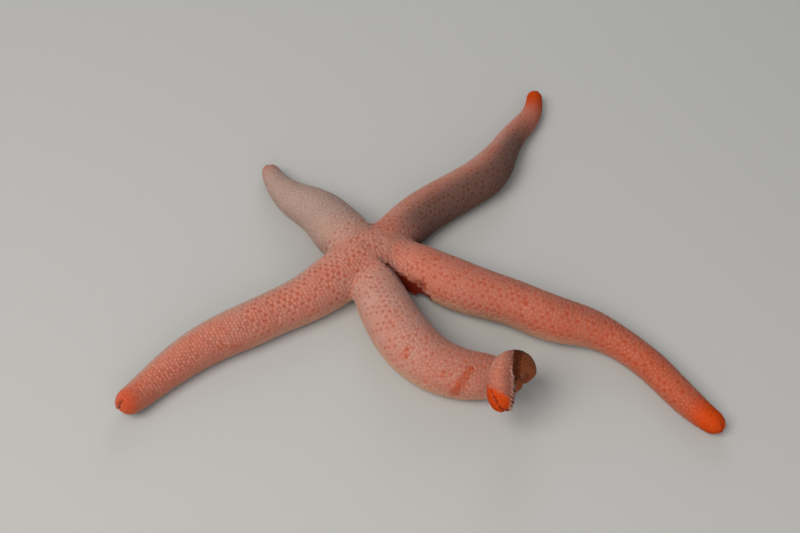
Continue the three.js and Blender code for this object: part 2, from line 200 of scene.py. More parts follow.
def follow(arm):
    """Evenly spaced stations of an arm: place, direction, back, across and half width, in mm."""
    shares = np.linspace(0, 1, 4001)
    fine = spline(arm["route"], shares)
    gone = np.concatenate([[0], np.cumsum(np.linalg.norm(np.diff(fine, axis=0), axis=1))])
    count = int(gone[-1] / SAMPLE_STEP) + 1
    s = np.linspace(0, gone[-1], count)
    share = np.interp(s, gone, shares)
    point = spline(arm["route"], share)
    direction = unit(spline(arm["route"], share + 1e-4) - spline(arm["route"], share - 1e-4))
    direction[-1] = direction[-2]
    direction[0] = direction[1]
    back = np.zeros_like(direction)
    on_floor = True
    for i, along in enumerate(direction):
        on_floor = on_floor and along[2] < STEEP
        up = np.array([0, 0, 1.0]) if on_floor else back[i - 1]
        back[i] = unit(up - along * (up @ along))
    first, last, degrees = arm.get("twist", (0, 1, 0))
    turn = np.radians(degrees) * smoothstep(s, first, last)[:, None]
    back = back * np.cos(turn) + np.cross(direction, back) * np.sin(turn)
    half_width = spline(np.reshape(arm["half_widths"], (-1, 1)), s / gone[-1])[:, 0]
    rounding = TIP_ROUNDING * arm["half_widths"][-1]
    past = np.clip((s - (gone[-1] - rounding)) / rounding, 0, 1)
    girth = half_width * np.sqrt(1 - past**2)
    axis = point.copy()
    axis[:, 2] += AXIS_SHARE * HEIGHT_TO_HALF_WIDTH * half_width
    return {"s": s, "length": gone[-1], "axis": axis, "direction": direction, "back": back,
            "across": np.cross(back, direction), "half_width": half_width, "girth": girth,
            "rounding": rounding}


stations = {name: follow(arm) for name, arm in ARMS.items()}
for name, st in stations.items():
    print(f"{name:11s} {st['length']:.1f} mm long, half width {st['half_width'].min():.1f} to "
          f"{st['half_width'].max():.1f} mm")

# %% [markdown]
# ## Small helpers for node trees
# Geometry Nodes make whatever repeats or follows a rule. The trees are built here in code. `new_tree`
# gives a tree its named sizes, `put` adds a node and connects it in one go, and `grow` runs a tree on an
# object and keeps the result as a plain mesh.


# %% Node tree helpers
def new_tree(name, sizes):
    """A geometry node tree with named inputs: whole numbers, sizes or a material."""
    tree = bpy.data.node_groups.new(name, "GeometryNodeTree")
    tree.interface.new_socket("Geometry", in_out="INPUT", socket_type="NodeSocketGeometry")
    for label, kind in sizes.items():
        tree.interface.new_socket(label, in_out="INPUT", socket_type="NodeSocket" + kind)
    tree.interface.new_socket("Geometry", in_out="OUTPUT", socket_type="NodeSocketGeometry")
    return tree, tree.nodes.new("NodeGroupInput").outputs


def put(tree, kind, inputs=None, out=0, **settings):
    """Adds a node, fills its inputs with values or links, and returns one of its outputs."""
    node = tree.nodes.new(kind)
    for name, value in settings.items():
        setattr(node, name, value)
    for name, value in (inputs or {}).items():
        if isinstance(value, bpy.types.NodeSocket):
            tree.links.new(value, node.inputs[name])
        else:
            node.inputs[name].default_value = value
    return node.outputs[out]


def calc(tree, operation, *values):
    return put(tree, "ShaderNodeMath", dict(enumerate(values)), operation=operation)


def times(tree, first, *others):
    """The product of values or links."""
    for other in others:
        first = calc(tree, "MULTIPLY", first, other)
    return first


def plus(tree, first, *others):
    """The sum of values or links."""
    for other in others:
        first = calc(tree, "ADD", first, other)
    return first


def minus(tree, first, second):
    return calc(tree, "SUBTRACT", first, second)


def vector_calc(tree, operation, *values, scale=None):
    inputs = dict(enumerate(values))
    if scale is not None:
        inputs["Scale"] = scale
    return put(tree, "ShaderNodeVectorMath", inputs, operation=operation)


def xyz(tree, x=0.0, y=0.0, z=0.0):
    return put(tree, "ShaderNodeCombineXYZ", {0: x, 1: y, 2: z})


def parts_of(tree, vector):
    """The three numbers of a vector."""
    node = tree.nodes.new("ShaderNodeSeparateXYZ")
    tree.links.new(vector, node.inputs[0])
    return node.outputs


def upright_to(tree, direction):
    """The turn that stands a copy up along a direction."""
    node = tree.nodes.new("FunctionNodeAlignRotationToVector")
    node.axis = "Z"
    tree.links.new(direction, node.inputs["Vector"])
    return node.outputs[0]


def read(tree, name, kind="FLOAT"):
    return put(tree, "GeometryNodeInputNamedAttribute", {"Name": name}, data_type=kind)


def close_tree(tree, geometry, material):
    """Every tree ends by making its copies real and giving them their material."""
    real = put(tree, "GeometryNodeRealizeInstances", {"Geometry": geometry})
    smooth = put(tree, "GeometryNodeSetShadeSmooth", {"Geometry": real})
    done = put(tree, "GeometryNodeSetMaterial", {"Geometry": smooth, "Material": material})
    tree.links.new(done, tree.nodes.new("NodeGroupOutput").inputs[0])


# %% Objects from arrays, and growing them
def guide(name, places, edges=(), faces=(), **attributes):
    """A mesh object from places in mm, counted from the disc's centre. An attribute has a value for each."""
    mesh = bpy.data.meshes.new(name)
    mesh.from_pydata((np.asarray(places) * MM + disc_centre).tolist(), list(edges), list(faces))
    for label, values in attributes.items():
        values = np.asarray(values, np.float32)
        vector = values.ndim == 2
        attribute = mesh.attributes.new(label, "FLOAT_VECTOR" if vector else "FLOAT", "POINT")
        attribute.data.foreach_set("vector" if vector else "value", values.ravel())
    obj = bpy.data.objects.new(name, mesh)
    bpy.context.scene.collection.objects.link(obj)
    return obj


def plain_copy(obj, name):
    """The object's evaluated mesh as a new object. The old one is removed."""
    bpy.context.view_layer.update()
    made = bpy.data.meshes.new_from_object(obj.evaluated_get(bpy.context.evaluated_depsgraph_get()))
    bpy.data.objects.remove(obj)
    made.name = name
    new = bpy.data.objects.new(name, made)
    bpy.context.scene.collection.objects.link(new)
    return new


def grow(obj, name, tree, **sizes):
    """Runs a tree on an object. Its inputs are set by their identifiers before it is first evaluated."""
    modifier = obj.modifiers.new(tree.name, "NODES")
    modifier.node_group = tree
    identifiers = {item.name.replace(" ", "_").lower(): item.identifier
                   for item in tree.interface.items_tree if item.in_out == "INPUT"}
    for label, value in sizes.items():
        modifier[identifiers[label]] = value
    return plain_copy(obj, name)


# %% [markdown]
# ## One skin over the whole body
# The real animal has no seams: disc and arms are one wall of small plates under a soft skin. An arm is the
# rule itself, one section carried along a route, so a tree makes it with Curve to Mesh. The section is a
# circle that a few sums flatten below and notch with the food groove. The five arms and a low turned dome
# are then wrapped by a voxel remesh, which melts them into one closed surface. A little smoothing rounds
# the corners between arms, and at last the skin moves inwards by the depth of its coat, so that the tufts
# reach the true outline.


# %% The arm tree
def arm_tree():
    tree, given = new_tree("Arm", {
        "Sides": "Int", "Height": "Float", "Axis share": "Float", "Belly share": "Float",
        "Groove half width": "Float", "Groove top half width": "Float", "Groove depth": "Float",
        "Material": "Material"})
    circle = put(tree, "GeometryNodeCurvePrimitiveCircle", {"Resolution": given["Sides"], "Radius": 1.0})
    side, sine, _ = parts_of(tree, put(tree, "GeometryNodeInputPosition"))
    above = times(tree, calc(tree, "MAXIMUM", sine, 0.0), minus(tree, 1.0, given["Axis share"]))
    below = times(tree, calc(tree, "MINIMUM", sine, 0.0), given["Belly share"])
    rise = calc(tree, "MAXIMUM", plus(tree, above, below), times(tree, given["Axis share"], -1.0))
    notch = put(tree, "ShaderNodeMapRange", {
        "Value": calc(tree, "ABSOLUTE", side), "From Min": given["Groove top half width"],
        "From Max": given["Groove half width"], "To Min": given["Groove depth"], "To Max": 0.0})
    notch = times(tree, notch, calc(tree, "LESS_THAN", sine, 0.0))
    height = times(tree, plus(tree, rise, notch), given["Height"])
    section = put(tree, "GeometryNodeSetPosition", {"Geometry": circle, "Position": xyz(tree, side, height)})
    route = put(tree, "GeometryNodeMeshToCurve", {"Mesh": given["Geometry"]})
    route = put(tree, "GeometryNodeSetCurveNormal",
                {"Curve": route, "Normal": read(tree, "across", "FLOAT_VECTOR")}, mode="FREE")
    body = put(tree, "GeometryNodeCurveToMesh", {
        "Curve": route, "Profile Curve": section, "Scale": read(tree, "girth"), "Fill Caps": True})
    close_tree(tree, body, given["Material"])
    return tree


# %% Five arms and a dome
ARM_SECTIONS = 120
arm_rule = arm_tree()
skin_material = bpy.data.materials.new("soft_skin")
bodies = []
for name, st in stations.items():
    straight = st["length"] - st["rounding"]
    bend = np.sin(np.linspace(0, math.pi / 2, 12))[1:]
    at = np.concatenate([np.linspace(ARM_ROOT, straight, ARM_SECTIONS), straight + st["rounding"] * bend])
    axis, across = ([np.interp(at, st["s"], st[key][:, k]) for k in range(3)] for key in ("axis", "across"))
    past = np.clip((at - straight) / st["rounding"], 0, 1)
    girth = np.interp(at, st["s"], st["half_width"]) * np.sqrt(1 - past**2)
    line = guide("route_" + name, np.transpose(axis), [(i, i + 1) for i in range(len(at) - 1)],
                 across=unit(np.transpose(across)), girth=np.maximum(girth, 0.02) * MM)
    bodies.append(grow(line, "body_" + name, arm_rule, sides=128, height=HEIGHT_TO_HALF_WIDTH,
                       axis_share=AXIS_SHARE, belly_share=BELLY_SHARE, groove_half_width=GROOVE_HALF_WIDTH,
                       groove_top_half_width=GROOVE_TOP_HALF_WIDTH, groove_depth=GROOVE_DEPTH,
                       material=skin_material))

WEB_SPAN, WEB_TOP, WEB_FOOT = (4.0, 14.5), 0.98, 1.38   # mm from the centre, and shares of the half width


def web():
    """The right arm's flank beside the fold, filled out to a sloping wall."""
    st = stations["right"]
    rows = [int(round(s / SAMPLE_STEP)) for s in np.linspace(*WEB_SPAN, 8)]
    floor = -AXIS_SHARE * HEIGHT_TO_HALF_WIDTH
    corners = [(-WEB_TOP, 0), (-WEB_FOOT, floor), (0, floor), (0, 0)]
    points = [st["axis"][i] + st["half_width"][i] * (side * st["across"][i] + up * st["back"][i])
              for i in rows for side, up in corners]
    faces = [(4 * r + k, 4 * r + (k + 1) % 4, 4 * r + 4 + (k + 1) % 4, 4 * r + 4 + k)
             for r in range(len(rows) - 1) for k in range(4)]
    last = 4 * len(rows)
    return guide("body_web", points, (), faces + [(3, 2, 1, 0), (last - 4, last - 3, last - 2, last - 1)])


bodies.append(web())

DISC_HEIGHT, DISC_RADIUS = 9.3, 7.7
DISC_OFFSET = (-1.4, 0.5)
DOME = [(0.88, 0), (1.0, 0.3), (0.86, 0.66), (0.62, 0.88), (0.32, 0.98), (0.003, 1.0)]   # shares of both


def turned(name, profile, sides, offset=(0, 0)):
    """A closed round body about a vertical line. Its profile runs from the edge to the top's middle."""
    angles = np.linspace(0, 2 * math.pi, sides, endpoint=False)
    rings = [[(r * math.cos(a) + offset[0], r * math.sin(a) + offset[1], z) for a in angles]
             for r, z in profile]
    faces = [(first + i, first + (i + 1) % sides, first + sides + (i + 1) % sides, first + sides + i)
             for first in range(0, (len(profile) - 1) * sides, sides) for i in range(sides)]
    ends = [tuple(reversed(range(sides))), tuple(range((len(profile) - 1) * sides, len(profile) * sides))]
    return guide(name, np.reshape(rings, (-1, 3)), (), faces + ends)


dome = spline(DOME, np.linspace(0, 1, 24))
bodies.append(turned("body_disc", [(r * DISC_RADIUS, z * DISC_HEIGHT) for r, z in dome], 64, DISC_OFFSET))

# %% Melt them into one skin
VOXEL = 0.358 * MM


def joined(objects, name):
    """One object with the meshes of several, which are removed."""
    mesh = bpy.data.meshes.new(name)
    points, faces, first = [], [], 0
    for obj in objects:
        points.append(vertex_places(obj))
        faces += [tuple(v + first for v in polygon.vertices) for polygon in obj.data.polygons]
        first += len(obj.data.vertices)
        bpy.data.objects.remove(obj)
    return guide(name, np.vstack(points), (), faces)


def vertex_places(obj):
    """The object's vertices in mm, counted from the disc's centre."""
    co = np.empty(len(obj.data.vertices) * 3)
    obj.data.vertices.foreach_get("co", co)
    return (co.reshape(-1, 3) - disc_centre) / MM


def vertex_normals(obj):
    normals = np.empty(len(obj.data.vertices) * 3)
    obj.data.vertex_normals.foreach_get("vector", normals)
    return normals.reshape(-1, 3)


def move_vertices(obj, places):
    obj.data.vertices.foreach_set("co", (places * MM + disc_centre).ravel())
    obj.data.update()


def wrapped(obj):
    """The same shape as one closed surface of small, even faces."""
    wrap = obj.modifiers.new("One skin", "REMESH")
    wrap.mode = "VOXEL"
    wrap.voxel_size = VOXEL
    return plain_copy(obj, "skin")


def edge_pull(obj):
    """A function that moves each vertex of the object by a share of the way to its neighbours' middle."""
    ends = np.empty(len(obj.data.edges) * 2, int)
    obj.data.edges.foreach_get("vertices", ends)
    ends = ends.reshape(-1, 2)
    neighbours = np.bincount(ends.ravel())[:, None]

    def pull(places, share):
        total = np.zeros_like(places)
        for k in range(3):
            total[:, k] = (np.bincount(ends[:, 0], places[ends[:, 1], k], len(places))
                           + np.bincount(ends[:, 1], places[ends[:, 0], k], len(places)))
        return places + share * (total / neighbours - places)
    return pull


skin = wrapped(joined(bodies, "skin"))
pull = edge_pull(skin)
skin_places = vertex_places(skin)
CORNER_ROUNDS = 40
near_disc = 1 - smoothstep(np.hypot(skin_places[:, 0], skin_places[:, 1]), 9, 15)[:, None]
near_disc *= smoothstep(skin_places[:, 2:], 2.0, 4.0)
for _ in range(CORNER_ROUNDS):
    skin_places += near_disc * 0.5 * (pull(skin_places, 1.0) - skin_places)
move_vertices(skin, skin_places)

# %% Open the fold between the front and right arms
FOLD_START, FOLD_END, FOLD_FLOOR = np.array((3.6, -4.6)), np.array((10.4, -9.9)), 1.0
FOLD_HALF_WIDTHS = (0.35, 0.95)     # at its start and end
FOLD_TOP = (6.2, 7.4)               # its shade fades out between these heights

fold_way = FOLD_END - FOLD_START
across_fold = np.array((-fold_way[1], fold_way[0])) / np.linalg.norm(fold_way)
narrow, wide = FOLD_HALF_WIDTHS
corners = [FOLD_START - narrow * across_fold, FOLD_END - wide * across_fold,
           FOLD_END + wide * across_fold, FOLD_START + narrow * across_fold]
wedge = guide("fold", [(*c, z) for z in (FOLD_FLOOR, DISC_HEIGHT + 1) for c in corners], (),
              [(3, 2, 1, 0), (4, 5, 6, 7)] + [(k, (k + 1) % 4, 4 + (k + 1) % 4, 4 + k) for k in range(4)])
cut = skin.modifiers.new("Fold", "BOOLEAN")
cut.operation, cut.solver, cut.object = "DIFFERENCE", "EXACT", wedge
skin = wrapped(plain_copy(skin, "skin"))
bpy.data.objects.remove(wedge)
pull = edge_pull(skin)
skin_places = vertex_places(skin)


def fold_share(points):
    """How far along the fold points lie, from 0 at its start to 1 at its end."""
    return (points[:, :2] - FOLD_START) @ fold_way / (fold_way @ fold_way)


def in_fold(points, fade=0.35):
    """1 well inside the fold and 0 outside it, fading over a short way in mm."""
    along = fold_share(points)
    wide = np.interp(along, (0, 1), FOLD_HALF_WIDTHS)
    off = np.abs((points[:, :2] - FOLD_START) @ across_fold)
    inside = smoothstep(along, -0.12, 0.0) * (1 - smoothstep(along, 1.0, 1.2))
    inside *= 1 - smoothstep(off, wide, wide + fade)
    return inside * (1 - smoothstep(points[:, 2], *FOLD_TOP))


def beside_fold(points, tops):
    """1 on the fold's walls and floor and 0 away from them. Tops are its heights in mm at start and end."""
    along = np.clip(fold_share(points), -0.1, 1.0)
    off = np.linalg.norm(points[:, :2] - FOLD_START - along[:, None] * fold_way, axis=1)
    wide = 0.5 + 1.5 * np.clip(along, 0, 1)
    above_top = points[:, 2] - np.interp(along, (0, 1), tops)
    return (1 - smoothstep(off, wide, wide + 1.4)) * (1 - smoothstep(above_top, -0.4, 0.4))


def on_wall(points):
    """Whether points lie on the right arm's side of the fold."""
    return (points[:, :2] - FOLD_START) @ across_fold > -0.15


print("skin", len(skin.data.polygons), "faces, lowest", skin_places[:, 2].min().round(3),
      "highest", skin_places[:, 2].max().round(3))


# %% [markdown]
# ## Where a point lies on the animal
# Colours, pits and tufts all follow the body: along an arm, and round it from the back to the furrow. So
# every point is given its place on the nearest arm. Distances are counted in half widths, so that a thin
# arm end that hangs close to a thick one keeps its own points.

# %% Arm places
NAMES = list(stations)
all_axis, all_half_width, all_along, all_back, all_across, all_s = (
    np.concatenate([st[key] for st in stations.values()])
    for key in ("axis", "half_width", "direction", "back", "across", "s"))
all_arm = np.repeat(np.arange(len(NAMES)), [len(st["s"]) for st in stations.values()])
arm_length = np.array([st["length"] for st in stations.values()])
BATCH = 4000                     # points looked up at once


def arm_places(points):
    """Each point's arm, distance along it in mm, and place across and above its axis in half widths."""
    nearest = np.empty(len(points), int)
    centres = all_axis.astype(np.float32)
    weight = (1 / all_half_width**2).astype(np.float32)
    for first in range(0, len(points), BATCH):
        some = points[first:first + BATCH].astype(np.float32)
        squares = (some**2).sum(1)[:, None] + (centres**2).sum(1)[None] - 2 * some @ centres.T
        nearest[first:first + BATCH] = np.argmin(squares * weight, axis=1)
    off = points - all_axis[nearest]
    half_width = all_half_width[nearest]
    return {"arm": all_arm[nearest], "s": all_s[nearest] + (off * all_along[nearest]).sum(1),
            "side": (off * all_across[nearest]).sum(1) / half_width,
            "up": (off * all_back[nearest]).sum(1) / half_width,
            "half_width": half_width, "nearest": nearest}


# %% Smooth the skin, sink the mouth, and make room for the coat
COAT_DEPTH = 0.32
SMOOTHING_ROUNDS = 12
MOUTH_RADIUS, MOUTH_DEPTH = 3.0, 2.0
RIDGE_HEIGHT = 2.0       # each furrow's roof near the mouth
# The furrow's last part climbs over the arm's end as a slit. On most arms it runs straight, up to half a
# half width above the axis. On the hook it winds round the end, starts from the side and is longer.
SLIT_DEPTH, SLIT_LENGTH, LONG_SLIT = 0.55, 2.9, 4.495
SLIT_WIND = {"front": (126, -24)}       # degrees from the back, at the end and more per mm from it
SLIT_SPAN = {"front": (0.0, 2.0)}       # from and to, outwards from the axis, in half widths

for _ in range(SMOOTHING_ROUNDS):
    skin_places = pull(pull(skin_places, 0.5), -0.52)

from_mouth = np.hypot(skin_places[:, 0], skin_places[:, 1])
below = 1 - smoothstep(skin_places[:, 2], 1.5, 3.5)
lift = MOUTH_DEPTH * (1 - smoothstep(from_mouth, 0.55 * MOUTH_RADIUS, MOUTH_RADIUS))
for name, st in stations.items():
    along = unit(st["direction"][0] * (1, 1, 0))
    ahead = skin_places @ along
    beside = np.abs(skin_places @ np.cross((0, 0, 1), along)) / st["half_width"][0]
    ridge = (1 - smoothstep(beside, 0.12, 0.26)) * smoothstep(ahead, 0.5, 2)
    ridge *= 1 - smoothstep(ahead, 8.5, 9.5)
    lift = np.maximum(lift, RIDGE_HEIGHT * ridge)
flat = skin_places[:, 2] < 1.0
skin_places[:, 2] += np.where(flat, np.maximum(lift - skin_places[:, 2], 0), 0) * below
move_vertices(skin, skin_places)


def slit(at, inner, outer):
    """1 in the slit over each arm's end and 0 outside, fading between two distances from its middle."""
    def of_arm(settings, other, k):
        return np.array([settings.get(name, other)[k] for name in NAMES])[at["arm"]]

    to_end = arm_length[at["arm"]] - at["s"]
    turn = np.radians(of_arm(SLIT_WIND, (0, 0), 0) + of_arm(SLIT_WIND, (0, 0), 1) * to_end)
    aside = (at["side"] * np.cos(turn) - at["up"] * np.sin(turn)) * at["half_width"]
    outwards = at["side"] * np.sin(turn) + at["up"] * np.cos(turn)
    first, last = (of_arm(SLIT_SPAN, (-2.0, 0.5), k) for k in (0, 1))
    length = np.where(first < 0, SLIT_LENGTH, LONG_SLIT)
    within = smoothstep(outwards, first - 0.25, first) * (1 - smoothstep(outwards, last, last + 0.25))
    within *= np.where(first < 0, 1.0, smoothstep(to_end, 0.3, 1.3)) * (
        1 - smoothstep(to_end, 0.8 * length, length))
    return (1 - smoothstep(np.abs(aside), inner, outer)) * within


carved = slit(arm_places(skin_places), 0.08, 0.40)[:, None]
skin_places = skin_places - (COAT_DEPTH + SLIT_DEPTH * carved) * vertex_normals(skin)
skin_places[:, 2] = np.maximum(skin_places[:, 2], 0.75 * COAT_DEPTH)
move_vertices(skin, skin_places)
for polygon in skin.data.polygons:
    polygon.use_smooth = True
skin_normals = vertex_normals(skin)
skin_at = arm_places(skin_places)
print("skin now", skin_places.min(0).round(2), skin_places.max(0).round(2))

# %% [markdown]
# ## Where the tufts and pits are
# The plates under the skin form a net. Its meshes are the pits, and each has six tufts round it. A
# triangular lattice does the same: every third place in it is a pit, though in life many stay closed. The
# lattice is laid on each arm from the middle of the back outwards, finer towards the tip, placed on the
# skin, thinned where a bend crowds it and filled where there is a gap, as on the disc. Then every place
# pushes its neighbours away a few times, which evens them out, as growth does.

# %% Lattice on the arms
TUFT_STEP = 0.80
TIP_GRAIN = 0.70         # the lattice at a tip, as a share of its step elsewhere
WALL_TOPS = (5.6, 4.5)   # the bare wall in the fold reaches up to here, at its start and end
MARGIN_SIDE = 0.27       # tufts stop here, beside the furrow, in half widths from its middle
SIEVE_ROOM = 1.45        # tufts keep this far from the sieve plate's middle
# How far in mm the lattice's places are scattered.
JITTER = {"left": 0.07, "back_left": 0.17, "back_right": 0.09, "right": 0.12, "front": 0.12}
chance = np.random.default_rng(11)

foot = math.asin(AXIS_SHARE / BELLY_SHARE)
turn = np.linspace(math.pi / 2, -foot, 60)
outline = np.array([(math.cos(a), HEIGHT_TO_HALF_WIDTH * max(
    math.sin(a) * (1 - AXIS_SHARE if a > 0 else BELLY_SHARE), -AXIS_SHARE)) for a in turn]
    + [(MARGIN_SIDE, -AXIS_SHARE * HEIGHT_TO_HALF_WIDTH)])
outline_way = np.concatenate([[0], np.cumsum(np.linalg.norm(np.diff(outline, axis=0), axis=1))])


def grain(to_end):
    """The lattice's step as a share, at a distance from the arm's end."""
    return TIP_GRAIN + (1 - TIP_GRAIN) * smoothstep(to_end, 0.5, 10)


places, pits, jitter = [], [], []
for name, st in stations.items():
    s, row = 3.0, 0
    while s < st["length"] - 0.45 * st["rounding"]:
        i = min(int(round(s / SAMPLE_STEP)), len(st["s"]) - 1)
        step = TUFT_STEP * grain(st["length"] - s)
        girth = st["girth"][i]
        reach = int(outline_way[-1] * girth / step) + 1
        for column in range(-reach, reach + 1):
            way = (column + 0.5 * (row % 2)) * step / girth
            if abs(way) > outline_way[-1]:
                continue
            side = math.copysign(np.interp(abs(way), outline_way, outline[:, 0]), way)
            up = np.interp(abs(way), outline_way, outline[:, 1])
            places.append(st["axis"][i] + girth * (side * st["across"][i] + up * st["back"][i]))
            pits.append((column - (row - row % 2) // 2 - row) % 3 == 0)
            jitter.append(JITTER[name])
        s, row = s + step * math.sqrt(3) / 2, row + 1
places, pits = np.array(places), np.array(pits)
places += chance.normal(0, 1, places.shape) * np.array(jitter)[:, None]

# %% Put them on the skin, thin, fill and even out
skin_tree = BVHTree.FromPolygons([Vector(p) for p in skin_places],
                                 [tuple(p.vertices) for p in skin.data.polygons])
sieve_low, sieve_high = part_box("madreporite")
sieve_centre = (np.array((sieve_low + sieve_high) / 2) - disc_centre) / MM


def tree_of(points):
    tree = KDTree(len(points))
    for i, p in enumerate(points):
        tree.insert(p, i)
    tree.balance()
    return tree


def onto_skin(points):
    """The nearest points of the skin, the skin's slant there, and how far they are."""
    found = [skin_tree.find_nearest(p) for p in points]
    return tuple(np.array([f[k] for f in found]) for k in (0, 1, 3))


def off_limits(at, points):
    """Places in the furrows, the mouth, the slits and the fold, and under the sieve plate, have no tufts."""
    in_furrow = (np.abs(at["side"]) < MARGIN_SIDE) & (at["up"] < -0.3)
    in_mouth = (np.hypot(points[:, 0], points[:, 1]) < MOUTH_RADIUS + 0.4) & (points[:, 2] < 4)
    under_sieve = np.linalg.norm(points - sieve_centre, axis=1) < SIEVE_ROOM
    bare_wall = on_wall(points) & (beside_fold(points, WALL_TOPS) > 0.5) & (points[:, 2] > 0.8)
    in_gap = (slit(at, 0.26, 0.34) > 0.5) | (in_fold(points) > 0.5)
    return in_furrow | in_mouth | under_sieve | bare_wall | in_gap


def thinned(points, least):
    """Indices of the points that stay when none may have an earlier one within its own least distance."""
    tree, dropped = tree_of(points), np.zeros(len(points), bool)
    for i, (p, distance) in enumerate(zip(points, np.broadcast_to(least, len(points)))):
        if not dropped[i]:
            for _, j, _ in tree.find_range(p, distance):
                if j > i:
                    dropped[j] = True
    return np.flatnonzero(~dropped)


def local_step(at):
    return TUFT_STEP * grain(arm_length[at["arm"]] - at["s"])


STRAY = 1.2              # mm: places further than this from the skin are dropped
CROWDED, GAP, FILL = 0.66, 0.80, 0.82     # distances as shares of the lattice's step
PUSHES, PUSH, PUSH_REACH = 3, 0.22, 1.25

places, _, away = onto_skin(places)
keep = (away < STRAY) & ~off_limits(arm_places(places), places)
places, pits = places[keep], pits[keep]
order = np.argsort(chance.random(len(places)) - 2.0 * pits)
places, pits = places[order], pits[order]
keep = thinned(places, CROWDED * local_step(arm_places(places)))
places, pits = places[keep], pits[keep]

tree = tree_of(places)
bare = np.array([tree.find(p)[2] for p in skin_places]) > GAP * local_step(skin_at)
fill = skin_places[chance.permutation(np.flatnonzero(bare & ~off_limits(skin_at, skin_places)))]
fill = fill[thinned(fill, FILL * local_step(arm_places(fill)))]
places = np.vstack([places, fill])
pits = np.concatenate([pits, np.zeros(len(fill), bool)])
for _ in range(PUSHES):
    tree, reach = tree_of(places), PUSH_REACH * local_step(arm_places(places))
    push = np.zeros_like(places)
    for i, p in enumerate(places):
        for q, j, distance in tree.find_range(p, reach[i]):
            if j != i:
                push[i] += (p - np.array(q)) / max(distance, 1e-6) * (reach[i] - distance)
    places, _, _ = onto_skin(places + PUSH * push)
_, normals, _ = onto_skin(places)
at = arm_places(places)

# %% Which pits are open
CLOSED = 0.3             # share of the pits that stay closed, as tufts

keep = thinned(places[pits], 1.35 * TUFT_STEP)
pits[np.setdiff1d(np.flatnonzero(pits), np.flatnonzero(pits)[keep])] = False
pit_tree = tree_of(places[pits])
added = [i for i in np.flatnonzero(~pits) if pit_tree.find(places[i])[2] > 1.5 * TUFT_STEP]
added = [added[k] for k in thinned(places[added], 1.6 * TUFT_STEP)] if added else []
pits[added] = True
pits &= (chance.random(len(pits)) > CLOSED) & (normals[:, 2] > -0.6)
print(len(places), "places, of which", int(pits.sum()), "open pits, filled", len(fill),
      "pits added", len(added))


# %% [markdown]
# ## Markings
# Skin and tufts carry the same colours, so both ask the same function. It turns a place on an arm into a few
# numbers, mostly from 0 to 1, which are stored on the mesh and read by the materials. Warmth runs from a
# pale, greyish pink to a warm orange pink. Painted sheen is a pale grey cast painted on the rear flanks, and
# painted shade a dark one. Belly is the cream of the lower sides, partly a paler underside and partly
# painted light, and oral the orange of the underside. Hook shadow is a painted shadow on the underside in
# the hook. Tip is the vivid orange of the arm ends, scuff the orange of rubbed places, and recess shade a
# painted shade, dark red, in the fold, the slits and the mouth. Spots says how dark the pits are.

# %% Numbers along each arm, at equal steps from the centre to the tip
WARMTH = {"left": [0.32, 0.34, 0.40, 0.46, 0.52, 0.66],
          "back_left": [0.32, 0.22, 0.08, 0.02, 0.12, 0.30],
          "back_right": [0.34, 0.38, 0.38, 0.35, 0.42, 0.50], "right": [0.34, 0.48, 0.60, 0.76, 1.0, 1.2],
          "front": [0.30, 0.12, 0.24, 0.38, 0.45, 0.50]}
SPOTS = {"left": [0.35, 0.60, 0.18, 0.04, 0.0, 0.0], "back_left": [0.25, 0.10, 0.05, 0.0, 0.0, 0.0],
         "back_right": [0.25, 0.40, 0.35, 0.25, 0.15, 0.0], "right": [0.35, 0.95, 0.90, 0.60, 0.20, 0.0],
         "front": [0.22, 0.26, 0.38, 0.34, 0.12, 0.0]}
PAINTED_SHEEN_STRENGTH = {"left": 1.0, "back_left": 1.0, "back_right": 0.6, "right": 0.25, "front": 0.0}   # painted sheen: a pale grey cast
PAINTED_SHEEN_FROM = {"back_left": -200}     # it begins so many degrees round towards the rear, and at 8 elsewhere
PAINTED_SHADE_STRENGTH = {"back_right": 1.0}     # how much painted shade darkens the flank that faces forwards
# The cream of the lower sides is partly a paler underside and partly painted light, strongest on the right
# and front arms.
CREAM_STRENGTH = {"left": 0.45, "back_left": 0.25, "back_right": 0.20, "right": 0.80, "front": 0.85}
# The tip's strength, and the distances in mm from the end at which it starts to fade and is gone.
TIP_COLOUR = {"left": (0.65, 1.8, 5.0), "back_left": (0.30, 1.0, 3.0), "back_right": (1.0, 3.0, 13.0),
              "right": (1.0, 3.5, 9.0), "front": (1.0, 4.3, 5.0)}
TIP_ROUND = 0.8              # its edge is a bow: it falls back this far, in mm, at the arm's sides
HOOK_START = 44.5            # from here on the front arm bends up and shows its underside
# The edge between its back and its underside: mm from the centre, and degrees round from the back.
HOOK_EDGE = np.transpose([(53, 40), (54, 48), (55, 70), (56, 90), (57, 102), (59, 118), (61, 115),
                          (64, 104)])
# Rubbed places, where the orange under the skin shows: two ends, half width and strength.
SCUFFS = [((19.9, -31.5, 8.1), (18.3, -33.3, 7.0), 0.75, 1.0),
          ((18.3, -33.3, 7.0), (16.6, -34.4, 4.0), 0.95, 1.0),
          ((8.0, -27.1, 8.8), (7.3, -28.4, 7.6), 0.7, 0.8),
          ((15.0, -32.0, 7.6), (14.4, -32.6, 7.0), 0.5, 0.7),
          ((13.6, -4.8, 9.5), (14.2, -5.3, 9.4), 0.7, 0.7),
          ((30.6, -15.8, 9.1), (31.4, -16.4, 9.0), 0.6, 0.8),
          ((-28.4, -24.3, 5.3), (-24.6, -23.2, 3.8), 0.6, 0.4)]
# What the tufts keep of these numbers. The skin has the spots too.
KEPT = ("warmth", "tip", "belly", "oral", "scuff", "painted_sheen", "painted_shade", "hook_shadow", "deep")


def near_line(points, start, end):
    """Distances in mm from points to the line between two ends."""
    start, way = np.array(start), np.subtract(end, start)
    share = np.clip((points - start) @ way / (way @ way), 0, 1)[:, None]
    return np.linalg.norm(points - start - share * way, axis=1)


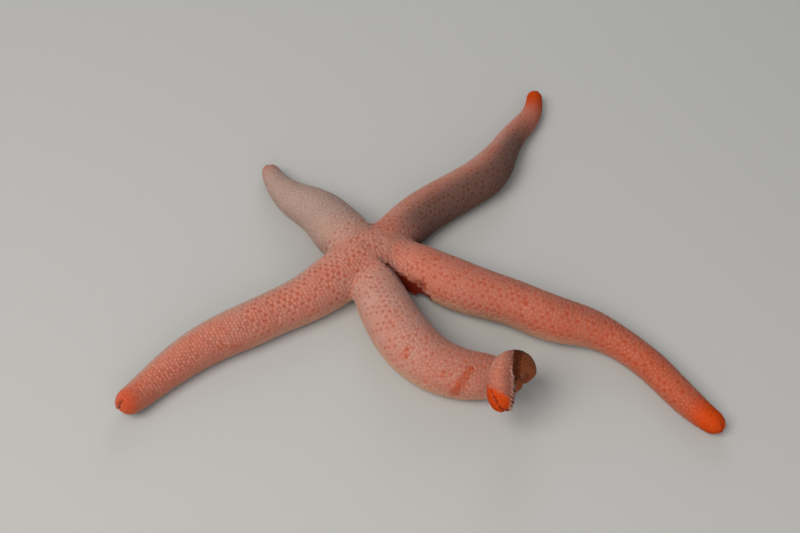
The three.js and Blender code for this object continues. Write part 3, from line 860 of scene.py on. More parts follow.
def markings(at, points):
    """The colour numbers at points, with their places on the arms as returned by arm_places."""
    angle = np.degrees(np.arctan2(np.abs(at["side"]), at["up"]))
    found = {"belly": smoothstep(angle, 76, 112), "oral": smoothstep(angle, 140, 165),
             **{label: np.zeros(len(angle)) for label in ("painted_sheen", "painted_shade", "warmth", "spots", "tip")}}
    for i, name in enumerate(NAMES):
        on = at["arm"] == i
        share = at["s"][on] / arm_length[i]
        # Cream of the lower sides, partly painted light, fading towards the tip.
        found["belly"][on] *= CREAM_STRENGTH[name] * (1 - 0.7 * smoothstep(share, 0.40, 0.70))
        rear = np.degrees(np.arctan2(at["side"][on], at["up"][on]))
        rear *= np.sign(all_across[at["nearest"][on], 1])
        first = PAINTED_SHEEN_FROM.get(name, 8)
        # Painted sheen: a pale grey cast on the rear flank, over most of the back left arm.
        found["painted_sheen"][on] = PAINTED_SHEEN_STRENGTH[name] * smoothstep(rear, first, first + 52) * smoothstep(
            share, *(-0.1, 0.4) if first < 0 else (0.12, 0.3)) * (1 - 0.35 * smoothstep(share, 0.8, 1.0))
        # Painted shade on the flank that faces forwards, on the back right arm.
        found["painted_shade"][on] = PAINTED_SHADE_STRENGTH.get(name, 0) * smoothstep(-rear, -35, 30) * (
            smoothstep(share, 0.04, 0.20) * (1 - smoothstep(share, 0.68, 0.88)))
        found["warmth"][on] = spline(np.reshape(WARMTH[name], (-1, 1)), share)[:, 0]
        found["spots"][on] = spline(np.reshape(SPOTS[name], (-1, 1)), share)[:, 0]
        strength, full, gone = TIP_COLOUR[name]
        to_end = arm_length[i] - at["s"][on] + TIP_ROUND * (angle[on] / 90) ** 2
        found["tip"][on] = strength * (1 - smoothstep(to_end, full, gone))
    hook = (at["arm"] == NAMES.index("front")) * smoothstep(at["s"], HOOK_START, HOOK_START + 2.5)
    past_edge = angle - np.interp(at["s"], *HOOK_EDGE)
    turned_up = hook * smoothstep(past_edge, -4, 8)
    found["oral"] = np.maximum(found["oral"] * (1 - hook), turned_up)
    found["belly"] *= 1 - hook
    # Painted shade on the hook's finger, darker towards its shaded side by the comb.
    found["painted_shade"] += hook * (1 - turned_up) * (0.12 + 0.5 * smoothstep(past_edge, -50, -5))
    found["tip"] *= 1 - turned_up
    # Painted shadow on the hook's turned-up underside: darkest beside the comb, fading to orange.
    found["hook_shadow"] = turned_up * (0.95 - 0.85 * smoothstep(past_edge, 20, 65))
    # Painted shade, dark red, on the fold's walls and floor.
    wall = np.maximum(beside_fold(points, WALL_TOPS), in_fold(points, 0.6))
    found["deep"] = np.where(on_wall(points), wall, in_fold(points, 1.3))
    # Painted shade on the front arm's side of the fold.
    found["painted_shade"] += 0.8 * ~on_wall(points) * beside_fold(points, (8.0, 6.5))
    found["spots"] *= 1 - smoothstep(angle, 95, 115)
    found["scuff"] = np.max([
        strength * (1 - smoothstep(near_line(points, start, end), 0.3 * wide, 1.5 * wide))
        for start, end, wide, strength in SCUFFS], axis=0)
    return found


marks = markings(at, places)
print("mean warmth", marks["warmth"].mean().round(2), "mean spots", marks["spots"].mean().round(2))

# %% Put them on the skin, with the pits
PIT_FROM, PIT_TO = 0.10, 0.75     # a pit's dark middle and where it ends, in mm
pit_tree = tree_of(places[pits])
pit_strength = marks["spots"][pits] * chance.uniform(0.45, 1.25, int(pits.sum()))
to_pit = np.array([pit_tree.find(p)[1:] for p in skin_places])
skin_marks = markings(skin_at, skin_places)
skin_marks["pit"] = np.clip(pit_strength[to_pit[:, 0].astype(int)], 0, 1) * (
    1 - smoothstep(to_pit[:, 1], PIT_FROM, PIT_TO))
# Painted shade, dark red, in the slits, the fold and the mouth's middle.
skin_marks["deep"] = np.max([skin_marks["deep"], slit(skin_at, 0.12, 0.38), in_fold(skin_places),
                             (1 - smoothstep(from_mouth, 0.6, 1.0)) * below], axis=0)
for label, values in skin_marks.items():
    skin.data.attributes.new(label, "FLOAT", "POINT").data.foreach_set("value", values.astype(np.float32))


# %% The shared colour, as a node group for the materials
def shade(tree, factor, first, second, mode="MIX"):
    """A colour mixed from two, each a colour or a link."""
    node = tree.nodes.new("ShaderNodeMix")
    node.data_type = "RGBA"
    node.blend_type = mode
    for socket, value in ((node.inputs[0], factor), (node.inputs[6], first), (node.inputs[7], second)):
        if isinstance(value, bpy.types.NodeSocket):
            tree.links.new(value, socket)
        elif isinstance(value, tuple):
            socket.default_value = (*value, 1)
        else:
            socket.default_value = value
    return node.outputs[2]


def attribute(tree, name):
    return put(tree, "ShaderNodeAttribute", {}, "Fac", attribute_name=name)


def noise(tree, scale, detail=2.0, roughness=0.5):
    """A soft noise that is fixed to the object."""
    place = put(tree, "ShaderNodeTexCoord", {}, "Object")
    return put(tree, "ShaderNodeTexNoise", {
        "Vector": place, "Scale": scale, "Detail": detail, "Roughness": roughness}, "Fac")


PALE_PINK, SALMON, ORANGE_PINK = (0.54, 0.32, 0.26), (0.57, 0.195, 0.125), (0.52, 0.10, 0.034)
# CREAM is partly a paler underside and partly painted light on the lit lower sides.
TIP_ORANGE, CREAM, ORAL_ORANGE = (0.62, 0.070, 0.004), (0.70, 0.45, 0.29), (0.28, 0.072, 0.014)
# Painted sheen grey, painted shade colour, and the painted shadow on the hook's underside.
PAINTED_SHEEN_GREY, PAINTED_SHADE_COLOUR, HOOK_SHADOW_COLOUR = (0.46, 0.33, 0.275), (0.13, 0.060, 0.043), (0.080, 0.018, 0.005)
# Painted shade, dark red, for the fold, the slits and the mouth's middle.
RECESS_SHADE_RED = (0.25, 0.022, 0.009)
SCUFF_ORANGE, PIT_TINT = (0.50, 0.085, 0.015), (0.78, 0.48, 0.43)


def colour_group():
    """The body's colour from its stored numbers, with soft blotches and a fine mottle."""
    group = bpy.data.node_groups.new("Body colour", "ShaderNodeTree")
    group.interface.new_socket("Colour", in_out="OUTPUT", socket_type="NodeSocketColor")
    blotch = noise(group, 160.0, 3.0, 0.55)
    mottle = noise(group, 900.0, 2.0, 0.6)
    change = minus(group, plus(group, blotch, times(group, mottle, 0.6)), 0.8)
    warmth = plus(group, attribute(group, "warmth"), times(group, change, 0.55))
    pale = put(group, "ShaderNodeMapRange", {"Value": warmth, "From Min": 0.0, "From Max": 0.45})
    warm = put(group, "ShaderNodeMapRange", {"Value": warmth, "From Min": 0.45, "From Max": 1.0})
    colour = shade(group, warm, shade(group, pale, PALE_PINK, SALMON), ORANGE_PINK)
    patchy = put(group, "ShaderNodeMapRange", {
        "Value": mottle, "From Min": 0.3, "From Max": 0.6, "To Min": 0.75})
    # Painted sheen, painted shade, the hook's painted shadow and the painted recess shade are laid over the
    # real colours here.
    for label, strength, layer in (
            ("painted_sheen", 0.85, PAINTED_SHEEN_GREY), ("belly", 1.0, CREAM), ("oral", 0.85, ORAL_ORANGE),
            ("painted_shade", 0.88, PAINTED_SHADE_COLOUR), ("hook_shadow", 1.0, HOOK_SHADOW_COLOUR), ("scuff", patchy, SCUFF_ORANGE),
            ("tip", 1.0, TIP_ORANGE), ("deep", 1.0, RECESS_SHADE_RED)):
        colour = shade(group, times(group, attribute(group, label), strength), colour, layer)
    group.links.new(colour, group.nodes.new("NodeGroupOutput").inputs[0])
    return group


body_colour = colour_group()


def new_material(name, roughness):
    """A material, its tree and its shader, with what all of this animal's surfaces share."""
    material = bpy.data.materials.get(name) or bpy.data.materials.new(name)
    material.use_nodes = True
    shader = material.node_tree.nodes["Principled BSDF"]
    shader.inputs["Roughness"].default_value = roughness
    shader.inputs["Specular IOR Level"].default_value = 0.2
    return material, material.node_tree, shader


def body_colour_in(tree):
    node = tree.nodes.new("ShaderNodeGroup")
    node.node_tree = body_colour
    return node.outputs[0]


def speckled_material(name, roughness, scale, dark, light):
    """A material that mixes two colours by a fine noise."""
    material, tree, shader = new_material(name, roughness)
    tree.links.new(shade(tree, noise(tree, *scale), dark, light), shader.inputs["Base Color"])
    return material


# %% [markdown]
# ## Skin material
# Between the tufts the skin is a little darker and redder than they are, a painted shade that matches the
# tufts' own shadow, and reddest in the pits. It is soft and moist, so it is a little glossy, and a fine bump
# gives it the pebbled look of small plates.

# %% Skin material
skin_material, tree, shader = new_material("soft_skin", 0.48)
body = body_colour_in(tree)
# Painted shade: the bare skin is darkened to look like the self-shadowed tufts.
base = shade(tree, 1.0, body, (0.88, 0.82, 0.80), "MULTIPLY")
base = shade(tree, attribute(tree, "pit"), base, shade(tree, 1.0, body, PIT_TINT, "MULTIPLY"))
tree.links.new(base, shader.inputs["Base Color"])
pebbles = put(tree, "ShaderNodeTexVoronoi", {
    "Vector": put(tree, "ShaderNodeTexCoord", {}, "Object"), "Scale": 4200.0}, "Distance")
bump = put(tree, "ShaderNodeBump", {"Height": pebbles, "Strength": 0.5, "Distance": 0.00006})
tree.links.new(bump, shader.inputs["Normal"])
skin.data.materials.append(skin_material)
skin.name = "sea_star_skin"

# %% [markdown]
# ## The coat
# A tuft is a low knob with a few dozen thin, pointed spinelets on it, the middle ones upright and the
# outer ones leaning out. The tree copies each place as many times as the tuft has spinelets, spreads the
# copies in a sunflower spiral on the skin's own slant, and stands a three-sided spinelet on each. Every
# copy gets its own length, lean and tone from a fixed seed. For the colour bake each spinelet keeps a
# small patch in a map that unrolls the arm.


# %% The tuft tree
BAKE_PATCH = 0.003               # how much of the unrolled map each spinelet has
SUNFLOWER_TURN = 2.39996         # the golden angle, in radians


def tuft_tree():
    tree, given = new_tree("Tufts", {
        "Spinelets": "Int", "Tuft radius": "Float", "Spinelet length": "Float",
        "Spinelet thickness": "Float", "Splay": "Float", "Knob height": "Float", "Knob radius": "Float",
        "Seed": "Int", "Material": "Material"})
    size, lie = read(tree, "size"), read(tree, "lie", "FLOAT_VECTOR")

    def random(low, high, salt):
        node = tree.nodes.new("FunctionNodeRandomValue")
        node.inputs[2].default_value, node.inputs[3].default_value = low, high
        tree.links.new(calc(tree, "ADD", given["Seed"], float(salt)), node.inputs["Seed"])
        return node.outputs[1]

    def store(geometry, name, value, kind="FLOAT", domain="POINT"):
        return put(tree, "GeometryNodeStoreNamedAttribute", {
            "Geometry": geometry, "Name": name, "Value": value}, data_type=kind, domain=domain)

    def peg(sides, rings, waist=0.0):
        """A pointed peg, one high and thick, with its own unrolled map. A waist makes its middle fuller."""
        cone = tree.nodes.new("GeometryNodeMeshCone")
        cone.fill_type = "NONE"
        for label, value in {"Vertices": sides, "Side Segments": rings, "Radius Top": 0.0,
                             "Radius Bottom": 0.5, "Depth": 1.0}.items():
            cone.inputs[label].default_value = value
        x, y, height = parts_of(tree, put(tree, "GeometryNodeInputPosition"))
        middle = calc(tree, "GREATER_THAN", times(tree, height, minus(tree, 1.0, height)), 0.1)
        wide = plus(tree, 1.0, times(tree, middle, waist))
        lifted = plus(tree, height, times(tree, middle, 0.22))
        fuller = xyz(tree, times(tree, x, wide), times(tree, y, wide), lifted)
        shaped = put(tree, "GeometryNodeSetPosition", {"Geometry": cone.outputs["Mesh"], "Position": fuller})
        shaped = store(shaped, "height", height)
        return store(shaped, "patch", cone.outputs["UV Map"], "FLOAT2", "CORNER")

    upright = upright_to(tree, lie)
    knob_wide = times(tree, given["Knob radius"], 2.0, size)
    knob_size = xyz(tree, knob_wide, knob_wide, times(tree, given["Knob height"], size))
    points = put(tree, "GeometryNodeMeshToPoints", {"Mesh": given["Geometry"]})
    knobs = put(tree, "GeometryNodeInstanceOnPoints", {
        "Points": store(points, "tone", 0.35), "Instance": peg(6, 2, 0.75), "Rotation": upright,
        "Scale": knob_size})

    copies = tree.nodes.new("GeometryNodeDuplicateElements")
    copies.domain = "POINT"
    tree.links.new(points, copies.inputs["Geometry"])
    tree.links.new(given["Spinelets"], copies.inputs["Amount"])
    rank = copies.outputs["Duplicate Index"]
    outwards = calc(tree, "SQRT", calc(tree, "DIVIDE", plus(tree, rank, 0.3), given["Spinelets"]))
    angle = plus(tree, times(tree, rank, SUNFLOWER_TURN), read(tree, "turn"))
    spot = xyz(tree, calc(tree, "COSINE", angle), calc(tree, "SINE", angle))
    flat_spot = vector_calc(tree, "SCALE", spot, scale=times(tree, outwards, given["Tuft radius"], size))
    lean = put(tree, "FunctionNodeRotateVector", {"Vector": vector_calc(
        tree, "SCALE", spot, scale=times(tree, outwards, given["Splay"])), "Rotation": upright})
    root = put(tree, "FunctionNodeRotateVector", {"Vector": flat_spot, "Rotation": upright})
    kept = store(copies.outputs["Geometry"], "lean", lean, "FLOAT_VECTOR")
    kept = store(kept, "outwards", outwards)
    step = read(tree, "unroll_step", "FLOAT_VECTOR")
    kept = store(kept, "unroll", vector_calc(tree, "ADD", read(tree, "unroll", "FLOAT_VECTOR"), vector_calc(
        tree, "MULTIPLY", flat_spot, step)), "FLOAT_VECTOR")
    kept = store(kept, "tone", random(0.0, 1.0, 1))
    kept = put(tree, "GeometryNodeSetPosition", {"Geometry": kept, "Offset": root})
    stray = xyz(tree, *(random(-0.16, 0.16, salt) for salt in (2, 3, 4)))
    direction = vector_calc(tree, "ADD", vector_calc(
        tree, "ADD", lie, read(tree, "lean", "FLOAT_VECTOR")), stray)
    thick = times(tree, given["Spinelet thickness"], random(0.85, 1.15, 5), size)
    shorter = minus(tree, 1.0, times(tree, calc(tree, "POWER", read(tree, "outwards"), 2.0), 0.16))
    long = times(tree, shorter, read(tree, "tall"))
    long = times(tree, given["Spinelet length"], random(0.82, 1.0, 6), long)
    spinelets = put(tree, "GeometryNodeInstanceOnPoints", {
        "Points": kept, "Instance": peg(3, 1), "Rotation": upright_to(tree, direction),
        "Scale": xyz(tree, thick, thick, long)})
    both = tree.nodes.new("GeometryNodeJoinGeometry")
    for part in (knobs, spinelets):
        tree.links.new(part, both.inputs[0])
    real = put(tree, "GeometryNodeRealizeInstances", {"Geometry": both.outputs[0]})
    patch = vector_calc(tree, "SCALE", vector_calc(tree, "SUBTRACT", read(tree, "patch", "FLOAT_VECTOR"),
                                                   (0.5, 0.5, 0.0)), scale=BAKE_PATCH)
    real = store(real, "OFBake", vector_calc(tree, "ADD", read(tree, "unroll", "FLOAT_VECTOR"), patch),
                 "FLOAT2", "CORNER")
    close_tree(tree, real, given["Material"])
    return tree


tufts = tuft_tree()

# %% [markdown]
# A spinelet is paler and more opaque towards its end, partly from wear and partly as a painted highlight
# where the ends catch the light, but not on the tips, on the underside and in the fold. Each differs a
# little in tone. The faint sheen stands for the thin, see-through skin that wraps it. The number called pale
# makes the larger spines of the furrow, the slits and the comb whiter than the coat; on the comb it is a
# painted glint.

# %% Coat material
# Pale end colour: wear and painted highlight.
WEAR_AND_HIGHLIGHT_WHITE = (0.74, 0.62, 0.55)

coat_material, tree, shader = new_material("spinelet_coat", 0.75)
body = body_colour_in(tree)
end_colour = shade(tree, plus(tree, 0.10, times(tree, attribute(tree, "pale"), 0.45)), body, WEAR_AND_HIGHLIGHT_WHITE)
plain = calc(tree, "MAXIMUM", attribute(tree, "tip"), attribute(tree, "deep"))
end_colour = shade(tree, calc(tree, "MAXIMUM", plain, attribute(tree, "oral")), end_colour, body)
colour = shade(tree, put(tree, "ShaderNodeMapRange", {
    "Value": attribute(tree, "height"), "From Min": 0.0, "From Max": 0.8}), shade(
        tree, 1.0, body, (0.97, 0.92, 0.90), "MULTIPLY"), end_colour)
tone = put(tree, "ShaderNodeMapRange", {"Value": attribute(tree, "tone"), "To Min": 0.95, "To Max": 1.05})
grey = put(tree, "ShaderNodeCombineColor", {0: tone, 1: tone, 2: tone})
colour = shade(tree, 1.0, colour, grey, "MULTIPLY")
tree.links.new(colour, shader.inputs["Base Color"])
shader.inputs["Sheen Weight"].default_value = 0.08
shader.inputs["Sheen Roughness"].default_value = 0.4

tip_material = coat_material.copy()
tip_material.name = "tip_coat"
tip_shader = tip_material.node_tree.nodes["Principled BSDF"]
tip_shader.inputs["Sheen Weight"].default_value = 0.0
tip_shader.inputs["Specular IOR Level"].default_value = 0.1

# %% Grow the coat, arm by arm
SPINELETS = 34
TUFT_RADIUS, SPINELET_LENGTH = 0.46, 0.34     # mm
ROOM_TOP = 15.0          # no tuft reaches higher, in mm
TUFT_TRIANGLES = 3 * SPINELETS + 18
MOST_TRIANGLES = 190000
CLOSED_SPOT = 0.12       # where the pits are fainter than this, each is covered by a tuft
FORWARD_LEAN = 0.22      # tufts lean along the arm a little
# The tips' coats begin so many mm from the centre.
TIP_PIECE = {"left": 53.5, "back_left": 33.5, "back_right": 59.5, "right": 73.5, "front": 54.0}


def room_share(points, lie, size, tall, length):
    """How much of a tuft's full size has room between the floor and the height of the hook, at most 1."""
    sloping = TUFT_RADIUS * size * np.sqrt(1 - np.clip(lie[:, 2], -1, 1) ** 2)
    down = sloping + length * tall * np.clip(0.3 - lie[:, 2], 0.1, 1)
    up = sloping + length * tall * np.clip(lie[:, 2] + 0.1, 0.1, 1)
    return np.clip(np.minimum(points[:, 2] / down, (ROOM_TOP - points[:, 2]) / up), 0.25, 1)


stands = ~pits | (marks["spots"] < CLOSED_SPOT)
size = chance.uniform(0.88, 1.10, len(places)) * local_step(at) / TUFT_STEP * np.where(pits, 0.7, 1.0)
lie = unit(normals + FORWARD_LEAN * all_along[at["nearest"]])
under = (places[:, 2] < 1.0) & (normals[:, 2] < -0.5)
tall = np.where(under, 0.6, 1.0) * np.sqrt(local_step(at) / TUFT_STEP)
tall *= 1 - 0.4 * marks["tip"]
share = room_share(places, lie, size, tall, SPINELET_LENGTH)
size, tall = size * share, tall * share
tip_from = np.array([TIP_PIECE[name] for name in NAMES])


def unrolled(at, start, stop):
    """Where places lie on the unrolled arm, and how far a metre to the side or ahead leads there."""
    around = np.arctan2(at["side"], at["up"]) / math.pi
    nothing = np.zeros(len(around))
    spot = np.stack([(at["s"] - start) / (stop - start), 0.5 + 0.48 * around, nothing], 1)
    sideways = 0.48 / (math.pi * at["half_width"] * 1.25)
    return spot, np.stack([nothing + 1 / (stop - start), sideways, nothing], 1) / MM


def grow_tufts(name, points, lie, at, marks, size, tall, seed, pale=0.0, **sizes):
    """Grows tufts at points and keeps the unrolled map within 0 to 1."""
    spot, step = unrolled(at, at["s"].min() - 1, at["s"].max() + 1)
    base = guide("places", points, lie=lie, turn=chance.uniform(0, 6.28, len(points)), size=size, tall=tall,
                 unroll=spot, unroll_step=step, pale=np.full(len(points), pale),
                 **{label: marks[label] for label in KEPT})
    return grow(base, name, tufts, seed=seed, **sizes)


def some_of(values, chosen):
    return {key: each[chosen] for key, each in values.items()}


def triangles(obj):
    return sum(len(p.vertices) - 2 for p in obj.data.polygons)


TUFT = {"spinelets": SPINELETS, "tuft_radius": TUFT_RADIUS * MM, "spinelet_length": SPINELET_LENGTH * MM,
        "spinelet_thickness": 0.17 * MM, "splay": 0.30, "knob_height": 0.08 * MM, "knob_radius": 0.42 * MM}
coats, tips = [], []
for i, name in enumerate(NAMES):
    mine = stands & (at["arm"] == i)
    near = np.flatnonzero(mine & (at["s"] < tip_from[i]))
    near = near[np.argsort(at["s"][near])]
    parts = np.array_split(near, math.ceil(len(near) * TUFT_TRIANGLES / MOST_TRIANGLES))
    for part, chosen in enumerate(parts + [np.flatnonzero(mine & (at["s"] >= tip_from[i]))]):
        is_tip = part == len(parts)
        obj = grow_tufts(f"coat_{name}_{'tip' if is_tip else part + 1}", places[chosen], lie[chosen],
                         some_of(at, chosen), some_of(marks, chosen), size[chosen], tall[chosen],
                         7 * i + part, material=tip_material if is_tip else coat_material, **TUFT)
        (tips if is_tip else coats).append(obj)
print("coat", [(c.name, triangles(c)) for c in coats + tips])

# %% [markdown]
# ## Gills
# In each open pit that no tuft covers stands a gill, a low soft bag of thin red skin. In a still, resting
# animal it is drawn in and hardly reaches the tufts' feet.

# %% Gills
gill_material, tree, shader = new_material("gill_skin", 0.35)
tree.links.new(shade(tree, 1.0, body_colour_in(tree), PIT_TINT, "MULTIPLY"), shader.inputs["Base Color"])
open_pits = np.flatnonzero(pits & ~stands)
gills = grow_tufts("gills", places[open_pits], normals[open_pits], some_of(at, open_pits),
                   some_of(marks, open_pits), chance.uniform(0.7, 1.1, len(open_pits)),
                   np.ones(len(open_pits)), 50, spinelets=0, knob_height=0.16 * MM, knob_radius=0.22 * MM,
                   material=gill_material)
print("gills", len(open_pits), "with", triangles(gills), "triangles")

# %% [markdown]
# ## Spines beside the furrow and the slit
# Each furrow is fenced on both sides by groups of longer, paler spines. Where the arm lies on the floor
# they lean over the furrow and close it. Where it is lifted, as in the hook, they stand away from the
# underside. Round the mouth five groups point inwards, one in each corner between two arms.

# %% Furrow spines
MARGIN_STEP, MARGIN_LINE = 0.72, 0.24     # mm apart, and half widths from the furrow's middle
LIP_INNER, LIP_OUTER, LIP_STEP = 0.22, 0.38, 0.40     # mm from a slit's middle, and apart
LEAST_HEIGHT = 0.40      # of a spine's foot over the floor
edge_points, edge_lie = [], []
for name, st in stations.items():
    for s in np.arange(6.0, st["length"] - 0.6 * st["rounding"], MARGIN_STEP):
        i = int(round(s / SAMPLE_STEP))
        for side in (-1, 1):
            across, back = side * st["across"][i], st["back"][i]
            spot = st["axis"][i] + st["half_width"][i] * (
                MARGIN_LINE * across - AXIS_SHARE * HEIGHT_TO_HALF_WIDTH * back)
            lifted = smoothstep(spot[2], 0.6, 1.8)
            edge_points.append(spot)
            edge_lie.append(unit((1 - lifted) * (-across + 0.25 * st["direction"][i])
                                 + lifted * (-0.8 * back + 0.4 * across + 0.5 * st["direction"][i])))
lips = (skin_at["up"] > -0.75) & (skin_at["arm"] != NAMES.index("front"))
lips &= slit(skin_at, LIP_OUTER, LIP_OUTER + 0.02) > 0.5
lips &= slit(skin_at, LIP_INNER, LIP_INNER + 0.02) < 0.5
lips = np.flatnonzero(lips)
lips = lips[thinned(skin_places[lips], LIP_STEP)]
inwards = -np.sign(skin_at["side"][lips])[:, None] * all_across[skin_at["nearest"][lips]]
edge_points = np.vstack([edge_points, skin_places[lips]])
edge_lie = np.vstack([edge_lie, unit(skin_normals[lips] + 0.35 * inwards)])

headings = np.sort([math.atan2(st["direction"][0][1], st["direction"][0][0]) for st in stations.values()])
corners = (headings + np.roll(headings, -1) + (np.arange(5) == 4) * 2 * math.pi) / 2
mouth_points = [(r * math.cos(a + turn), r * math.sin(a + turn), 0.4) for a in corners
                for r, turn in ((3.1, 0), (3.4, 0.28), (3.4, -0.28))]
edge_points = np.vstack([edge_points, mouth_points])
edge_lie = np.vstack([edge_lie, unit(np.array(mouth_points) * (-1, -1, 0))])

edge_points, _, _ = onto_skin(edge_points)
edge_points[:, 2] = np.maximum(edge_points[:, 2], LEAST_HEIGHT)
edge_at = arm_places(edge_points)
edge_marks = markings(edge_at, edge_points)
on_slit = np.arange(len(edge_points)) >= len(edge_points) - len(lips) - len(mouth_points)
edge_size = np.clip(edge_at["half_width"] / 4.5, 0.6, 1.0) * np.where(on_slit, 0.8, 1.0)
edge_size *= room_share(edge_points, edge_lie, 0.45 * edge_size, 0.3 * edge_size, 0.8)
furrow_spines = grow_tufts("furrow_spines", edge_points, edge_lie, edge_at, edge_marks, edge_size, edge_size,
                           60, pale=1.0, spinelets=4, tuft_radius=0.20 * MM, spinelet_length=0.80 * MM,
                           spinelet_thickness=0.19 * MM, splay=0.30, knob_height=0.10 * MM,
                           knob_radius=0.20 * MM, material=coat_material)
print("furrow spines", 4 * len(edge_points), "with", triangles(furrow_spines), "triangles")

# %% The comb on the hook
COMB_START, COMB_END, COMB_STEP = 54.2, 62.6, 0.42     # mm along the front arm
COMB_LENGTH, COMB_THICKNESS = 1.65, 0.26               # of a spine
comb_points, comb_lie = [], []
for s in np.arange(COMB_START, COMB_END, COMB_STEP):
    st, a = stations["front"], math.radians(np.interp(s, *HOOK_EDGE))
    i = int(round(s / SAMPLE_STEP))
    across, back, along = st["across"][i], st["back"][i], st["direction"][i]
    comb_points.append(st["axis"][i] + st["half_width"][i] * (math.sin(a) * across + math.cos(a) * back))
    comb_lie.append(unit(0.5 * across - 0.6 * back + 0.6 * along))
comb_points, _, _ = onto_skin(comb_points)
comb_at = arm_places(comb_points)
comb_marks = markings(comb_at, comb_points)
for label in ("tip", "oral", "painted_shade", "hook_shadow", "deep"):
    comb_marks[label] *= 0.2
comb_size = chance.uniform(0.85, 1.0, len(comb_points))
comb_size *= room_share(comb_points, np.array(comb_lie), 0.3 * comb_size, comb_size, COMB_LENGTH)
# pale=1.0 paints a glint on the comb's spines.
comb = grow_tufts("hook_comb", comb_points, np.array(comb_lie), comb_at, comb_marks, comb_size, comb_size,
                  70, pale=1.0, spinelets=2, tuft_radius=0.14 * MM, spinelet_length=COMB_LENGTH * MM,
                  spinelet_thickness=COMB_THICKNESS * MM, splay=0.15, knob_height=0.10 * MM,
                  knob_radius=0.16 * MM, material=coat_material)
print("comb", 2 * len(comb_points), "spines with", triangles(comb), "triangles")

# %% [markdown]
# ## Tube feet
# Two rows of tube feet stand in each furrow, alternating from side to side. A foot is a soft stalk with a
# small sucker at its end. The tree draws one foot as a short line with a round section, and copies it to
# every root.


# %% The tube foot tree
def foot_tree():
    tree, given = new_tree("Tube feet", {"Sides": "Int", "Length": "Float", "Stalk radius": "Float",
                                         "Sucker": "Float", "Material": "Material"})
    line = put(tree, "GeometryNodeCurvePrimitiveLine", {"End": xyz(tree, z=given["Length"])})
    line = put(tree, "GeometryNodeResampleCurve", {"Curve": line, "Count": 7})
    along = put(tree, "GeometryNodeSplineParameter")
    sucker = times(tree, calc(tree, "GREATER_THAN", along, 0.8), given["Sucker"])
    rings = times(tree, calc(tree, "SINE", times(tree, along, 19.0)), 0.08)
    wide = plus(tree, 1.0, times(tree, along, -0.3), plus(tree, sucker, rings))
    section = put(tree, "GeometryNodeCurvePrimitiveCircle", {"Resolution": given["Sides"],
                                                             "Radius": given["Stalk radius"]})
    foot = put(tree, "GeometryNodeCurveToMesh", {"Curve": line, "Profile Curve": section, "Scale": wide,
                                                 "Fill Caps": True})
    points = put(tree, "GeometryNodeMeshToPoints", {"Mesh": given["Geometry"]})
    size = read(tree, "size")
    feet = put(tree, "GeometryNodeInstanceOnPoints", {
        "Points": points, "Instance": foot, "Rotation": upright_to(tree, read(tree, "lie", "FLOAT_VECTOR")),
        "Scale": xyz(tree, size, size, size)})
    close_tree(tree, feet, given["Material"])
    return tree


# %% Tube feet in the furrows
FOOT_STEP = 0.85
foot_material = speckled_material(
    "tube_foot_skin", 0.4, (2500.0, 2.0), (0.70, 0.40, 0.22), (0.80, 0.60, 0.42))
foot_points, foot_lie, foot_size = [], [], []
sole = -AXIS_SHARE * HEIGHT_TO_HALF_WIDTH
roof = sole + GROOVE_DEPTH * HEIGHT_TO_HALF_WIDTH
for name, st in stations.items():
    for row, s in enumerate(np.arange(3.6, st["length"] - st["rounding"], FOOT_STEP / 2)):
        i = int(round(s / SAMPLE_STEP))
        side = 1 if row % 2 else -1
        foot_points.append(st["axis"][i] + st["half_width"][i] * (
            0.07 * side * st["across"][i] + roof * st["back"][i]) + 0.25 * st["back"][i])
        foot_lie.append(unit(-st["back"][i] + side * chance.uniform(0.0, 0.18) * st["across"][i]
                             + chance.uniform(-0.25, 0.25) * st["direction"][i]))
        drawn_in = 1 - 0.65 * smoothstep(st["axis"][i][2] + sole * st["half_width"][i], 1, 3)
        foot_size.append(st["half_width"][i] / 5.0 * chance.uniform(0.86, 1.0) * drawn_in)
feet = grow(guide("roots", foot_points, lie=foot_lie, size=foot_size), "tube_feet", foot_tree(), sides=8,
            length=2.05 * MM, stalk_radius=0.25 * MM, sucker=0.45, material=foot_material)
print("tube feet", len(foot_points), "with", triangles(feet), "triangles")

# %% [markdown]
# ## Mouth and sieve plate
# The mouth is closed by a thin ring of wrinkled skin with a hole in its middle. The sieve plate, through
# which the animal takes in water, is a low button with fine furrows that run out from its middle. Both are
# round bodies turned about a line, so one small function makes them, with ridges as an extra.


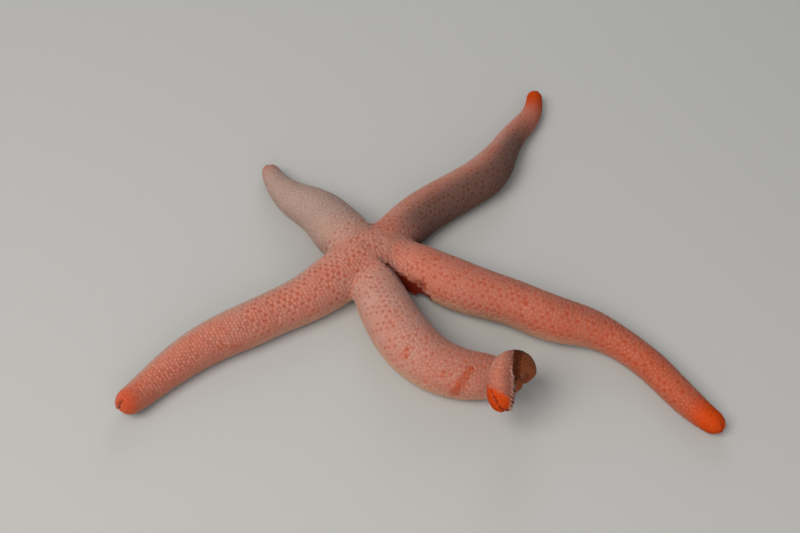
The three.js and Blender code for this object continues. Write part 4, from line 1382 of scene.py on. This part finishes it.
# %% Ridged round bodies
def ridged(name, profile, sides, ridges, depth, lean=0.0, angle=0.0, centre=(0, 0, 0)):
    """A closed round body from rings of radius, height and ridge share, leaned over towards an angle."""
    a = np.linspace(0, 2 * math.pi, sides, endpoint=False)
    rings = [np.stack([r * np.cos(a), r * np.sin(a), z + depth * share * np.cos(ridges * a)], 1)
             for r, z, share in profile]
    local = np.vstack(rings)
    c, s = math.cos(lean), math.sin(lean)
    tilt = np.array([(c, 0, s), (0, 1, 0), (-s, 0, c)])
    c, s = math.cos(angle), math.sin(angle)
    spin = np.array([(c, -s, 0), (s, c, 0), (0, 0, 1)])
    count = len(profile)
    faces = [(r * sides + i, r * sides + (i + 1) % sides, (r + 1) % count * sides + (i + 1) % sides,
              (r + 1) % count * sides + i) for r in range(count) for i in range(sides)]
    obj = guide(name, local @ tilt.T @ spin.T + centre, (), faces)
    for polygon in obj.data.polygons:
        polygon.use_smooth = True
    return obj


# %% Mouth skin
mouth_material = speckled_material(
    "mouth_skin", 0.42, (1500.0, 3.0), (0.48, 0.20, 0.09), (0.66, 0.40, 0.26))
base = (np.array(mouth_low) - disc_centre)[2] / MM
mouth = ridged("mouth_ring", [(0.78, base + 0.10, 0.5), (0.95, base + 0.02, 1), (1.3, base + 0.08, 1),
                              (1.8, base + 0.2, 1), (2.3, base + 0.3, 0.7), (2.68, base + 0.36, 0.2),
                              (2.68, base + 0.8, 0), (1.6, base + 0.85, 0), (0.78, base + 0.6, 0)],
               120, 24, 0.07)
mouth.data.materials.append(mouth_material)

# %% Sieve plate
SIEVE_LEAN, SIEVE_ANGLE = math.radians(62), math.radians(80)
sieve_material = speckled_material(
    "sieve_plate", 0.55, (3000.0, 2.0), (0.50, 0.24, 0.17), (0.72, 0.46, 0.37))
sieve = ridged("sieve_button", [(0.02, 0.34, 0), (0.25, 0.34, 0.3), (0.5, 0.31, 1), (0.75, 0.24, 1),
                                (1.0, 0.10, 1), (1.17, -0.08, 0.8), (1.24, -0.26, 0.2), (1.2, -0.38, 0),
                                (0.02, -0.38, 0)], 112, 14, 0.055, SIEVE_LEAN, SIEVE_ANGLE, sieve_centre)
sieve.data.materials.append(sieve_material)
print("mouth", triangles(mouth), "and sieve plate", triangles(sieve), "triangles")

# %% Ride, replace and finish
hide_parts("disc", *[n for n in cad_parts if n.startswith("arm_")])
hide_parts("mouth")
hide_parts("madreporite")
slots = {"body": [skin, gills, furrow_spines, comb, *coats], "tip": tips, "mouth": [mouth, feet],
         "sieve": [sieve]}
for name, pieces in slots.items():
    for obj in pieces:
        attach(obj, BODY)
